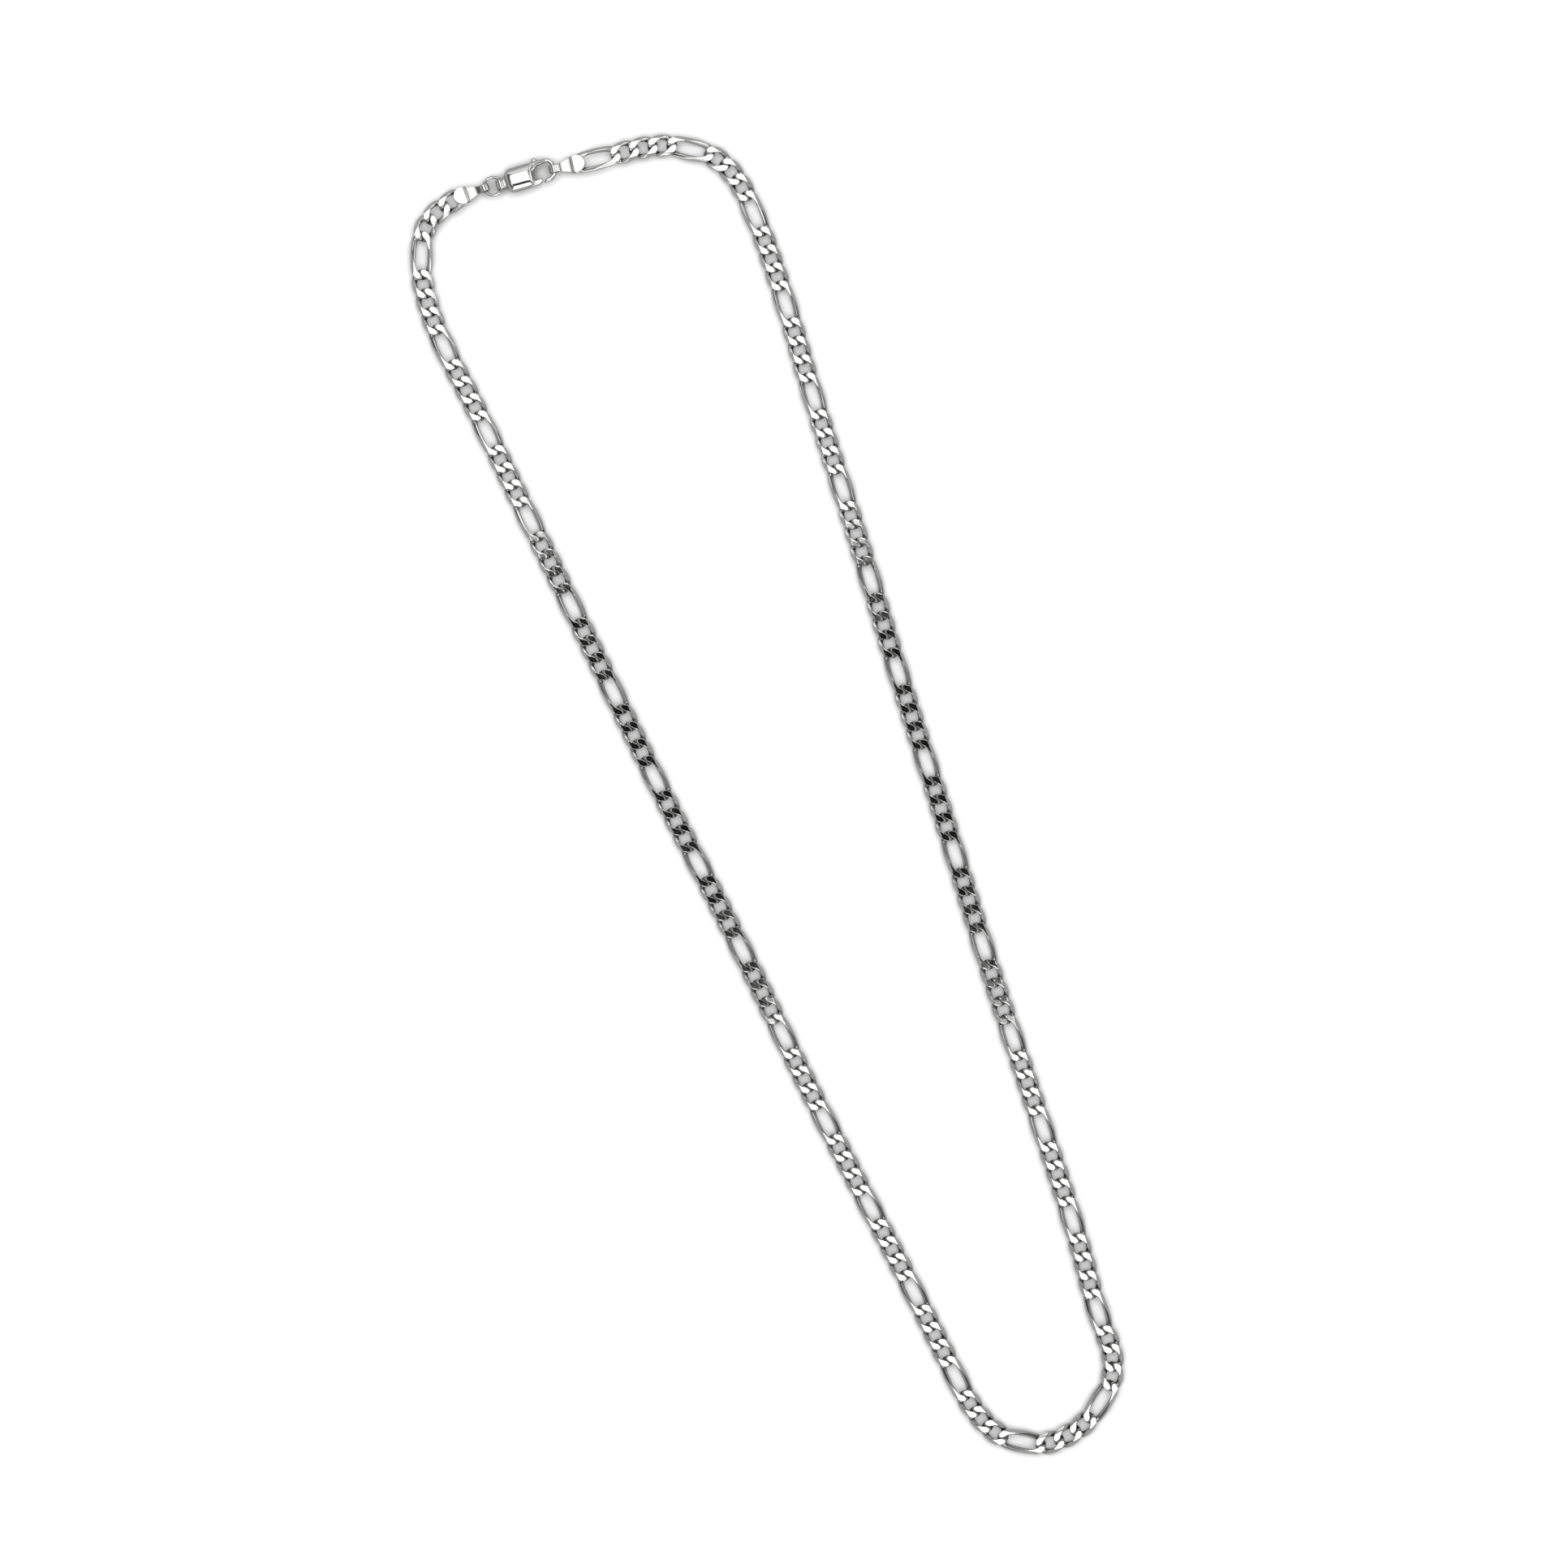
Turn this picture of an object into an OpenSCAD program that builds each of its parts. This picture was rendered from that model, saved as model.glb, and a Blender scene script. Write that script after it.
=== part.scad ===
/* [Chain] */
// Width of a link, side to side
link_w = 4.0; // [3.4:0.1:4.8]
// Width of the wire, seen from above
wire_w = 0.9; // [0.76:0.01:1.08]
// Thickness of the finished chain, flat face to flat face
link_t = 1.25; // [1.05:0.05:1.5]
// Height of the wire before its flats are cut
wire_t = 0.82; // [0.68:0.01:0.98]
// How far a link's ends are twisted up and down, from its middle plane
lean = 0.5; // [0.42:0.01:0.56]
// Width of the flat that is left between the two bevels
flat_w = 2.84; // [2.4:0.02:3.4]
// Length of a short link's opening
short_in = 3.5; // [3:0.05:4.2]
// Length of a long link's opening
long_in = 7.02; // [5.8:0.02:8.5]
// Short links after each long one
shorts = 3; // [1:1:5]
// Number of long links
repeats = 31; // [20:1:40]
// Play where one link hangs in the next
play = 0.05; // [0.03:0.01:0.1]

/* [Tags] */
// Length of a tag, from the wire that it loops around to the link's inner end
tag_l = 4.5; // [3.8:0.1:5.4]
// Width of a tag at its wide end
tag_w = 3.2; // [2.7:0.1:3.8]
// Width of the hook's tag at its loop
hook_waist = 1.35; // [1.1:0.05:1.5]
// Width of the jump ring's tag at its loop
ring_waist = 1.2; // [1:0.05:1.3]
// Thickness of the strip that a tag is folded from
strip_t = 0.32; // [0.26:0.01:0.38]
// Length of the rounded end that covers the link's inner end
tag_nose = 1.2; // [1.1:0.05:1.5]
// Clearance between a tag's leaves and the link's flats
leaf_gap = 0.06; // [0.04:0.01:0.1]
// Width of the raised band across each leaf
band_w = 0.95; // [0.6:0.05:1.1]
// Height of the raised band
band_t = 0.06; // [0.04:0.01:0.1]

/* [Jump ring] */
// Outer diameter of the jump ring
ring_od = 3.78; // [3.5:0.02:4.5]
// Wire of the jump ring
ring_wire = 0.54; // [0.45:0.01:0.6]
// Width of the cut where the jump ring closes
ring_slit = 0.04; // [0.02:0.01:0.1]

/* [Clasp] */
// Length of the clasp, from the jump ring's wire to the tag's wire
clasp_l = 9.78; // [9:0.02:11.8]
// Width of the clasp body
clasp_w = 4.34; // [4:0.02:5.2]
// Thickness of the clasp body
clasp_t = 2.6; // [2.3:0.1:3.2]
// Distance from the hook's end wire back to the body's front
eye_l = 3.9; // [3.7:0.1:4.7]
// Width of the hook's wire, seen from above
hook_w = 0.66; // [0.56:0.02:0.72]
// Width of the hook where it leaves the body
root_w = 0.95; // [0.8:0.05:1.1]
// Height of the hook's wire
hook_t = 0.9; // [0.8:0.05:1.1]
// Thickness of the lever's hub and gate
lever_t = 0.8; // [0.7:0.05:1]
// Thickness of the lever's thumb tab
tab_t = 0.5; // [0.4:0.05:0.6]
// How far the thumb tab stands out of the side
tab_out = 0.65; // [0.4:0.05:0.9]
// Length of the gate ahead of the body's front
gate_l = 1.55; // [1.3:0.05:1.8]
// Width of the gate
gate_w = 0.85; // [0.7:0.05:1]
// Diameter of the lever's pin
pin_d = 0.6; // [0.5:0.05:0.7]
// Running clearance of the pin in the lever, on the radius
pin_fit = 0.05; // [0.03:0.01:0.1]
// Clearance all round the lever
lever_fit = 0.1; // [0.06:0.01:0.15]
// Gap between the gate and the hook's tip
tip_gap = 0.22; // [0.12:0.01:0.3]
// Width of the bail, across the clasp
bail_w = 1.7; // [1.4:0.1:1.9]
// Radius of the bail's hole
bail_in = 0.54; // [0.5:0.01:0.6]
// Thickness of the bail's wall
bail_wall = 0.22; // [0.18:0.01:0.26]

/* [Hidden] */
$fn = 48;
// Overlap of shapes that are joined
eps = 0.01;
// How far a cutting shape runs past what it cuts
past = 1;

// The middle line of the laid necklace, from the hook's end wire round to the jump ring
ROUTE = [
    [0, 122.5], [9, 121], [17, 120], [23.5, 117.5], [28, 113.5], [30, 108.5], [30.5, 101],
    [30, 88], [28, 67], [26, 41.5], [23.5, 14], [21.5, -11.5], [19, -40], [17, -70],
    [15.5, -90.5], [14.5, -99], [13.5, -106.5], [13.5, -113], [11, -118.5], [6.5, -122],
    [1, -124], [-5.5, -123.5], [-11, -119.5], [-13.5, -113.5], [-14.5, -104.5], [-15.5, -91.5],
    [-19.5, -47.5], [-21.5, -18.5], [-24, 10.5], [-26, 40], [-28, 69], [-29.5, 91],
    [-30.5, 103], [-30, 110], [-28.5, 116.5], [-25, 122], [-19, 124], [-13, 124], [-10, 123.5]
];

// A closed smooth curve through the route's points, measured along its chords
function wrap(i) = (i + len(ROUTE)) % len(ROUTE);
function chord(i) = norm(ROUTE[wrap(i + 1)] - ROUTE[wrap(i)]);
CHORDS = [for (i = [0 : len(ROUTE) - 1]) chord(i)];
STARTS = [for (i = 0, u = 0; i <= len(ROUTE); u = u + CHORDS[wrap(i)], i = i + 1) u];
SLOPES = [for (i = [0 : len(ROUTE) - 1])
    let (back = CHORDS[wrap(i - 1)], ahead = CHORDS[i])
    ((ROUTE[i] - ROUTE[wrap(i - 1)]) / back * ahead + (ROUTE[wrap(i + 1)] - ROUTE[i]) / ahead * back)
        / (back + ahead)];
route_l = STARTS[len(ROUTE)];
function segment(u, i = 0) = u < STARTS[i + 1] || i == len(ROUTE) - 1 ? i : segment(u, i + 1);
function curve(u) =
    let (i = segment(u), h = CHORDS[i], s = (u - STARTS[i]) / h)
    (2 * s ^ 3 - 3 * s ^ 2 + 1) * ROUTE[i] + (s ^ 3 - 2 * s ^ 2 + s) * h * SLOPES[i]
        + (3 * s ^ 2 - 2 * s ^ 3) * ROUTE[wrap(i + 1)] + (s ^ 3 - s ^ 2) * h * SLOPES[wrap(i + 1)];
function on_loop(u) = curve(u - route_l * floor(u / route_l));

// Every rigid member of the closed loop, from joint to joint
links = repeats * (shorts + 1);
ring_span = ring_od - ring_wire;
LINK_IN = [for (i = [0 : links - 1]) i % (shorts + 1) == 0 ? long_in : short_in];
SPANS = concat([tag_l], [for (l = LINK_IN) l - play], [tag_l, ring_span, clasp_l]);
members = len(SPANS);

// Heights of the joints: the links lie on the ground, the fastening on the clasp's middle plane
low = link_t / 2;
high = clasp_t / 2;
RISE = [1, 1, 0.78, 0.5, 0.28, 0.1, 0];
function rise(j) = RISE[min(j, len(RISE) - 1, max(links + 2 - j, 0))];
HEIGHTS = [for (j = [0 : members]) low + (high - low) * rise(j)];

// Steps along the curve, scaled by k, so that each joint is one span from the last
function reach(u0, l, k, u, tries) =
    tries == 0 ? u : reach(u0, l, k, u + (l - k * norm(on_loop(u) - on_loop(u0))) / k, tries - 1);
function flat_span(i) = sqrt(SPANS[i] ^ 2 - (HEIGHTS[i + 1] - HEIGHTS[i]) ^ 2);
function walk(k) = [for (i = 0, u = 0; i <= members;
    u = i < members ? reach(u, flat_span(i), k, u + flat_span(i) / k, 4) : u, i = i + 1) u];
function overrun(k) = walk(k)[members] - route_l;
function close_up(k0, f0, k1, tries) =
    let (f1 = overrun(k1))
    tries == 0 || abs(f1 - f0) < 1e-9 ? k1
        : close_up(k1, f1, k1 - f1 * (k1 - k0) / (f1 - f0), tries - 1);
function sum_of(v, i = 0) = i == len(v) ? 0 : v[i] + sum_of(v, i + 1);
first_k = sum_of(SPANS) / route_l;
loop_k = close_up(first_k * 0.999, overrun(first_k * 0.999), first_k, 3);
STEPS = walk(loop_k);
JOINTS = [for (j = [0 : members]) let (p = on_loop(STEPS[j]) * loop_k) [p.x, p.y, HEIGHTS[j]]];

function repeat_name(i) = str("figaro_links_", i < 10 ? "0" : "", i);

// Moves its children from the X axis, centred, onto member m
module on_member(m) {
    a = JOINTS[m];
    b = JOINTS[m + 1];
    d = b - a;
    translate((a + b) / 2)
        rotate([0, -atan2(d.z, norm([d.x, d.y])), atan2(d.y, d.x)])
            children();
}

// Moves its children to joint a, with their X axis towards joint b
module from_joint(a, b) {
    d = JOINTS[b] - JOINTS[a];
    translate(JOINTS[a])
        rotate([0, 0, atan2(d.y, d.x)])
            children();
}

// Stands a plan drawn in X and Z up, w wide across the chain
module upright(w) {
    rotate([90, 0, 0])
        linear_extrude(w, center = true)
            children();
}

// A rectangle with round corners, from corner (x0, y0) to corner (x1, y1)
module round_rect(x0, x1, y0, y1, r) {
    for (x = [x0 + r, x1 - r])
        for (y = [y0 + r, y1 - r])
            translate([x, y])
                circle(r = r);
    translate([x0 + r, y0])
        square([x1 - x0 - 2 * r, y1 - y0]);
    translate([x0, y0 + r])
        square([x1 - x0, y1 - y0 - 2 * r]);
}

// Plan outline of a link, made wider and narrower by grow
module link_plan(inner, grow) {
    difference() {
        stadium(inner + 2 * wire_w + 2 * grow, link_w + 2 * grow);
        stadium(inner - 2 * grow, link_w - 2 * wire_w - 2 * grow);
    }
}

module stadium(l, w) {
    for (s = [-1, 1])
        translate([s * (l - w) / 2, 0])
            circle(d = w);
    square([l - w, w], center = true);
}

// Half the width over which a link's end slopes from its low side to its high side
slope_y = 0.5;
// How far the straight sides run into the round ends
side_run = 0.4;

// The wire's band at one end: low on one side of the chain, high on the other
module end_band(from, to, side, grow) {
    t = wire_t / 2 + grow;
    y = link_w;
    rotate([90, 0, 90])
        translate([0, 0, from])
            linear_extrude(to - from)
                polygon([
                    [-y, side * lean - t], [-slope_y, side * lean - t],
                    [slope_y, -side * lean - t], [y, -side * lean - t],
                    [y, -side * lean + t], [slope_y, -side * lean + t],
                    [-slope_y, side * lean + t], [-y, side * lean + t]
                ]);
}

// The wire along one side, sloping from end to end
module side_band(half, side, grow) {
    t = wire_t / 2 + grow;
    translate([0, side * link_w / 2, 0])
        rotate([90, 0, 0])
            linear_extrude(link_w - 2 * slope_y, center = true)
                polygon([
                    [-half, side * lean - t], [half, -side * lean - t],
                    [half, -side * lean + t], [-half, side * lean + t]
                ]);
}

// The envelope that the flats and bevels are cut to
module cut_prism(l, grow) {
    h = link_t / 2 + grow;
    y0 = flat_w / 2 + grow;
    y1 = link_w / 2 + grow;
    z1 = h - (y1 - y0);
    rotate([90, 0, 90])
        linear_extrude(l, center = true)
            polygon([
                [-y0, -h], [y0, -h], [y1, -z1], [y1, z1],
                [y0, h], [-y0, h], [-y1, z1], [-y1, -z1]
            ]);
}

// One curb link along X: a twisted oval of wire with flats cut above and below
module curb_link(inner, grow = 0) {
    half = (inner + 2 * wire_w - link_w) / 2 + side_run;
    end = inner / 2 + wire_w + past;
    intersection() {
        translate([0, 0, -link_t])
            linear_extrude(2 * link_t)
                link_plan(inner, grow);
        union() {
            end_band(half - eps, end, 1, grow);
            end_band(-end, -half + eps, -1, grow);
            side_band(half, 1, grow);
            side_band(half, -1, grow);
        }
        cut_prism(2 * end, grow);
    }
}

module link_at(i, grow = 0) {
    on_member(i + 1)
        curb_link(LINK_IN[i], grow);
}

// One repeat of the pattern: a long link and the short ones after it, joined where they touch
module figaro_repeat(r) {
    first = (r - 1) * (shorts + 1);
    color("silver") {
        difference() {
            link_at(first);
            if (r > 1)
                link_at(first - 1, play);
        }
        for (i = [first + 1 : first + shorts])
            link_at(i);
    }
}

// Height of a tag's leaves over its middle plane, inside and outside
leaf_in = link_t / 2 + leaf_gap;
leaf_out = leaf_in + strip_t;
// Half the height of a tag where its two strips are pressed together
neck_t = strip_t + 0.1;
// Lengths of the slopes into the pressed part and up to the leaves
neck_slope = 0.5;
leaf_slope = 0.3;
// Outer end of the link inside a tag, and the radius of the post in its opening
link_x = tag_l - play / 2 - wire_w;
post_r = 0.5;
// Radius of each tag's loop: the jump ring's wire is curved, the hook's is tall
ring_loop = ring_wire / 2 + 0.3;
hook_loop = hook_t / 2 + 0.08;

// Side view of a folded tag: its loop, its pressed neck and its two leaves
module tag_side(loop_in) {
    loop_out = loop_in + strip_t;
    step_x = link_x - leaf_gap;
    end_x = tag_l + tag_nose;
    difference() {
        union() {
            circle(r = loop_out);
            polygon([
                [0, -loop_out], [loop_out + neck_slope, -neck_t], [step_x - leaf_slope, -neck_t],
                [step_x, -leaf_out], [end_x, -leaf_out], [end_x, leaf_out],
                [step_x, leaf_out], [step_x - leaf_slope, neck_t],
                [loop_out + neck_slope, neck_t], [0, loop_out]
            ]);
        }
        circle(r = loop_in);
        translate([step_x, -leaf_in])
            square([end_x, 2 * leaf_in]);
    }
}

// Outline of a tag from above: a narrow loop that flares to a wide round end
module tag_plan(loop_in, waist) {
    nose_x = tag_l + tag_nose - tag_w / 2;
    neck = loop_in + strip_t;
    translate([nose_x, 0])
        circle(d = tag_w);
    polygon([
        [-neck, -waist / 2], [neck - 0.2, -waist / 2], [nose_x, -tag_w / 2],
        [nose_x, tag_w / 2], [neck - 0.2, waist / 2], [-neck, waist / 2]
    ]);
}

// A strip folded round a wire, with its leaves joined by a post through the link
module folded_tag(loop_in, waist) {
    band_x = link_x + 0.15;
    color("gainsboro") {
        intersection() {
            upright(2 * tag_w)
                tag_side(loop_in);
            linear_extrude(4 * leaf_out, center = true)
                tag_plan(loop_in, waist);
        }
        for (side = [-1, 1])
            intersection() {
                translate([band_x, -tag_w, side * leaf_out - band_t])
                    cube([band_w, 2 * tag_w, 2 * band_t]);
                linear_extrude(4 * leaf_out, center = true)
                    tag_plan(loop_in, waist);
            }
        translate([tag_l + play / 2 + post_r, 0, 0])
            cylinder(r = post_r, h = 2 * leaf_in + strip_t, center = true);
    }
}

module ring_tag() {
    from_joint(links + 2, links + 1)
        folded_tag(ring_loop, ring_waist);
}

module hook_tag() {
    from_joint(0, 1)
        folded_tag(hook_loop, hook_waist);
}

// The closed jump ring, lying flat, with its cut on the inner side of the necklace
module jump_ring() {
    mid_r = ring_span / 2;
    color("silver")
        from_joint(links + 2, links + 3)
            translate([mid_r, 0, 0])
                difference() {
                    rotate_extrude()
                        translate([mid_r, 0])
                            circle(d = ring_wire);
                    rotate(-50)
                        translate([0, -ring_slit / 2, -ring_wire])
                            cube([ring_od, ring_slit, 2 * ring_wire]);
                }
}

// The clasp lies along X, with the jump ring's wire at the origin
back_x = 0.8;
front_x = clasp_l - eye_l;
// The body and hook sit a little to the outer side of the line from wire to wire
shift_y = 0.15;
side_y = clasp_w / 2;
hook_y = side_y - hook_w / 2;
// Centre of the bail's hole, which leaves room for the jump ring's curve
bail_x = -0.22;
bail_out = bail_in + bail_wall;
// Radii of the hook's middle line at its two corners
bend_root = 1.25;
bend_tip = 1.55;
// How far the edges of the hook's wire are taken off
chamfer = 0.18;
// The lever's pin, its hub, its gate and its thumb tab
pivot = [front_x - 0.75, 0.35];
hub_r = pin_d / 2 + pin_fit + 0.27;
gate_y0 = -side_y + 0.12;
gate_y1 = gate_y0 + gate_w;
gate_x = front_x + gate_l;
gate_r = norm([gate_x, gate_y1] - pivot);
tab_x0 = front_x + 0.25;
tab_x1 = front_x + 1.45;
tab_tip = side_y + tab_out;

module on_clasp() {
    from_joint(links + 3, members)
        translate([0, shift_y, 0])
            children();
}

// Section of the hook's wire, with its edges taken off
module hook_section() {
    w = hook_w / 2;
    t = hook_t / 2;
    polygon([
        [-w, -t + chamfer], [-w + chamfer, -t], [w - chamfer, -t], [w, -t + chamfer],
        [w, t - chamfer], [w - chamfer, t], [-w + chamfer, t], [-w, t - chamfer]
    ]);
}

module hook_bar(from, to) {
    d = to - from;
    translate([from.x, from.y, 0])
        rotate([90, 0, atan2(d.y, d.x) + 90])
            linear_extrude(norm(d))
                hook_section();
}

module hook_bend(centre, r, from) {
    translate([centre.x, centre.y, 0])
        rotate(from)
            rotate_extrude(angle = 90)
                translate([r, 0])
                    hook_section();
}

// The hook: out along the side, round the end and back to a tip that meets the gate
module hook() {
    difference() {
        union() {
            hook_bar([front_x - 0.6, hook_y], [clasp_l - bend_root, hook_y]);
            hook_bend([clasp_l - bend_root, hook_y - bend_root], bend_root, 0);
            hook_bar([clasp_l, hook_y - bend_root], [clasp_l, bend_tip - hook_y]);
            hook_bend([clasp_l - bend_tip, bend_tip - hook_y], bend_tip, -90);
            hook_bar([clasp_l - bend_tip, -hook_y], [gate_x - past, -hook_y]);
        }
        translate([pivot.x, pivot.y, 0])
            cylinder(r = gate_r + tip_gap, h = 2 * hook_t, center = true);
    }
    hook_bar([front_x - 0.6, hook_y], [gate_x + past, hook_y]);
    linear_extrude(hook_t - chamfer, center = true)
        polygon([
            [front_x - 0.6, hook_y], [clasp_l - 1.2, hook_y], [clasp_l - 0.75, hook_y - 0.4],
            [clasp_l - 1.3, side_y - root_w + 0.05], [front_x + 1.2, side_y - root_w],
            [front_x - 0.6, side_y - root_w]
        ]);
}

// The thick root that carries the hook past the thumb tab
module hook_root() {
    mid_t = 0.72;
    back_t = clasp_t / 2 - 0.35;
    x0 = front_x - 0.6;
    x1 = tab_x1 + 0.2;
    x2 = tab_x1 + 1.1;
    intersection() {
        upright(2 * clasp_w)
            polygon([
                [x0, -back_t], [x1, -mid_t], [x2, -hook_t / 2],
                [x2, hook_t / 2], [x1, mid_t], [x0, back_t]
            ]);
        translate([x0, 0, 0])
            rotate([90, 0, 90])
                linear_extrude(x2 - x0)
                    round_rect(side_y - root_w + 0.1, side_y, -clasp_t / 2, clasp_t / 2, 0.3);
    }
}

// The body's pillow: a block with its corners rounded in all three views
module pillow() {
    h = clasp_t / 2;
    intersection() {
        linear_extrude(clasp_t, center = true)
            round_rect(back_x, front_x, -side_y, side_y, 0.9);
        upright(2 * clasp_w)
            round_rect(back_x, front_x, -h, h, 0.7);
        translate([back_x, 0, 0])
            rotate([90, 0, 90])
                linear_extrude(front_x - back_x)
                    round_rect(-side_y, side_y, -h, h, 1);
    }
}

// The small bail that the jump ring passes through, solid until its hole is cut
module bail() {
    translate([0, -shift_y, 0])
        rotate([90, 0, 0]) {
            translate([bail_x, 0, 0])
                cylinder(r = bail_out, h = bail_w, center = true);
            translate([back_x / 2 + 0.25, 0, 0])
                cube([back_x + 0.5, 1, bail_w], center = true);
        }
}

// Room for the lever at every angle that it turns through
module lever_room() {
    h = lever_t + 2 * lever_fit;
    translate([pivot.x, pivot.y, 0])
        cylinder(r = hub_r + lever_fit, h = h, center = true);
    translate([0, 0, -h / 2])
        linear_extrude(h)
            polygon([
                pivot + [-hub_r - lever_fit, 0], [pivot.x - 0.45, -clasp_w],
                [front_x + 1, -clasp_w], [front_x + 1, pivot.y + 0.25], pivot + [0, hub_r]
            ]);
    translate([0, 0, -tab_t / 2 - lever_fit])
        linear_extrude(tab_t + 2 * lever_fit)
            polygon([
                pivot + [-0.35, 0], pivot + [0.3, -0.3], [front_x + 0.4, 0.2],
                [tab_x1 + lever_fit, 0.8], [tab_x1 + lever_fit, clasp_w], [pivot.x - 0.3, clasp_w]
            ]);
}

module clasp_body() {
    color("whitesmoke")
        on_clasp() {
            difference() {
                union() {
                    pillow();
                    bail();
                    hook();
                    hook_root();
                }
                lever_room();
                translate([bail_x, -shift_y, 0])
                    rotate([90, 0, 0])
                        cylinder(r = bail_in, h = 2 * bail_w, center = true);
            }
            translate([pivot.x, pivot.y, 0])
                cylinder(d = pin_d, h = clasp_t - 0.8, center = true);
        }
}

// The rocking lever: hub, gate arm and thumb tab
module clasp_lever() {
    color("lightgray")
        on_clasp()
            difference() {
                union() {
                    translate([pivot.x, pivot.y, 0])
                        cylinder(r = hub_r, h = lever_t, center = true);
                    intersection() {
                        linear_extrude(lever_t, center = true)
                            polygon([
                                pivot + [-0.4, -0.3], [pivot.x - 0.1, gate_y0], [gate_x + 1, gate_y0],
                                [gate_x + 1, gate_y1], [front_x + 0.5, gate_y1], pivot + [0.5, -0.1]
                            ]);
                        translate([pivot.x, pivot.y, 0])
                            cylinder(r = gate_r, h = 2 * lever_t, center = true);
                    }
                    linear_extrude(tab_t, center = true)
                        polygon([
                            pivot + [-0.1, 0.5], [tab_x0, 1.3], [tab_x0 + 0.05, tab_tip - 0.15],
                            [tab_x0 + 0.35, tab_tip], [tab_x1 - 0.25, tab_tip],
                            [tab_x1, tab_tip - 0.3], [tab_x1, 1.5], pivot + [0.5, 0]
                        ]);
                }
                translate([pivot.x, pivot.y, 0])
                    cylinder(r = pin_d / 2 + pin_fit, h = 2 * lever_t, center = true);
            }
}

clasp_body();
clasp_lever();
jump_ring();
ring_tag();
hook_tag();
for (r = [1 : repeats])
    figaro_repeat(r);
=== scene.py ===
"""Looks of a polished figaro chain, laid out as one closed loop with its tags, jump ring and clasp.

Each sub-assembly is a class that holds its sizes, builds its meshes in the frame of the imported
model and dresses them. Sizes are in metres, and in millimetres in the clasp, whose two solids are
signed fields. The studio around them is a white floor under a soft tent of light.
"""

import logging
import math
from collections.abc import Callable
from dataclasses import dataclass, field
from enum import Enum

import bmesh
import bpy
import numpy as np
from mathutils import Matrix, Vector

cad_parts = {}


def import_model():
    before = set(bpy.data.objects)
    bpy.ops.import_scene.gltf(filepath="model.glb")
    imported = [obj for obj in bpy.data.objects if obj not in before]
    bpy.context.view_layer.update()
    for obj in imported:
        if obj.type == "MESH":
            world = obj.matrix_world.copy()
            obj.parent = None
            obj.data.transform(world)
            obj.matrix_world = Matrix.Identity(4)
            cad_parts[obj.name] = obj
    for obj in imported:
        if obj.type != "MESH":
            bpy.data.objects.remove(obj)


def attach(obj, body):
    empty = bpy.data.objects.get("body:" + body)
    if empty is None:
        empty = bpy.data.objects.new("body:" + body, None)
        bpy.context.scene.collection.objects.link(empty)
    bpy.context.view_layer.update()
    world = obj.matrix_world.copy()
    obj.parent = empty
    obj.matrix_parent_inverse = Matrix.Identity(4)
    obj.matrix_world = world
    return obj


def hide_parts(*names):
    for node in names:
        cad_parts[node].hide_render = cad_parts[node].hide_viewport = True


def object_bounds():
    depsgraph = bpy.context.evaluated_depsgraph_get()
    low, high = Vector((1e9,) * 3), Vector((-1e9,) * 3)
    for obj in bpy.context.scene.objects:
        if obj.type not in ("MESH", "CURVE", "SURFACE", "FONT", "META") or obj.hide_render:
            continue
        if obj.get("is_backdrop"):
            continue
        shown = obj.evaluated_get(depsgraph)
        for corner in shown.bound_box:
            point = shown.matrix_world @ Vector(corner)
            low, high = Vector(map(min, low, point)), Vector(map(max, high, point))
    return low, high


MM = 0.001
AO_SAMPLES = 2

# The numbers of a mix node's colour sockets, because its sockets share their names.
COLOR_A, COLOR_B, COLOR_OUT = 6, 7, 2

log = logging.getLogger("figaro_chain")


class Part(Enum):
    """The body that a piece rides on."""

    NECKLACE = "necklace"
    LEVER = "lever"


class Slot(Enum):
    """The material slot that a piece takes its finish from."""

    CHAIN = "chain"
    CLASP = "clasp"
    LEVER = "lever"
    RING = "ring"
    TAG = "tag"


# The least and the greatest roughness of each slot's silver.
POLISH = {
    Slot.CHAIN: (0.05, 0.12),
    Slot.RING: (0.07, 0.15),
    Slot.TAG: (0.09, 0.2),
    Slot.CLASP: (0.07, 0.13),
    Slot.LEVER: (0.08, 0.18),
}


class LinkKind(Enum):
    """The two links of the figaro pattern, by the length of their opening."""

    LONG = 7.02 * MM
    SHORT = 3.5 * MM


@dataclass
class Skin:
    """A surface as plain arrays, before it becomes a mesh."""

    points: np.ndarray
    faces: list
    normals: np.ndarray | None = None

    def moved(self, matrix: Matrix) -> "Skin":
        """Moves the surface.

        Args:
            matrix: Where it goes, without scale.

        Returns:
            The moved copy.
        """
        m = np.array(matrix)
        normals = None if self.normals is None else self.normals @ m[:3, :3].T
        return Skin(self.points @ m[:3, :3].T + m[:3, 3], self.faces, normals)

    @staticmethod
    def joined(skins: list["Skin"]) -> "Skin":
        """Puts several surfaces into one.

        Args:
            skins: The surfaces, all with normals or all without.

        Returns:
            One surface with all their points and faces.
        """
        faces: list = []
        start = 0
        for skin in skins:
            faces += [tuple(start + i for i in face) for face in skin.faces]
            start += len(skin.points)
        plain = skins[0].normals is None
        normals = None if plain else np.concatenate([s.normals for s in skins])
        return Skin(np.concatenate([s.points for s in skins]), faces, normals)

    def mesh(self, name: str) -> bpy.types.Mesh:
        """Makes the mesh.

        Args:
            name: The mesh's name.

        Returns:
            A smooth-shaded mesh, with the surface's own normals where it has them.
        """
        made = bpy.data.meshes.new(name)
        made.from_pydata(self.points.tolist(), [], self.faces)
        made.update()
        made.shade_smooth()
        if self.normals is not None:
            made.normals_split_custom_set_from_vertices(self.normals.tolist())
        return made


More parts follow.
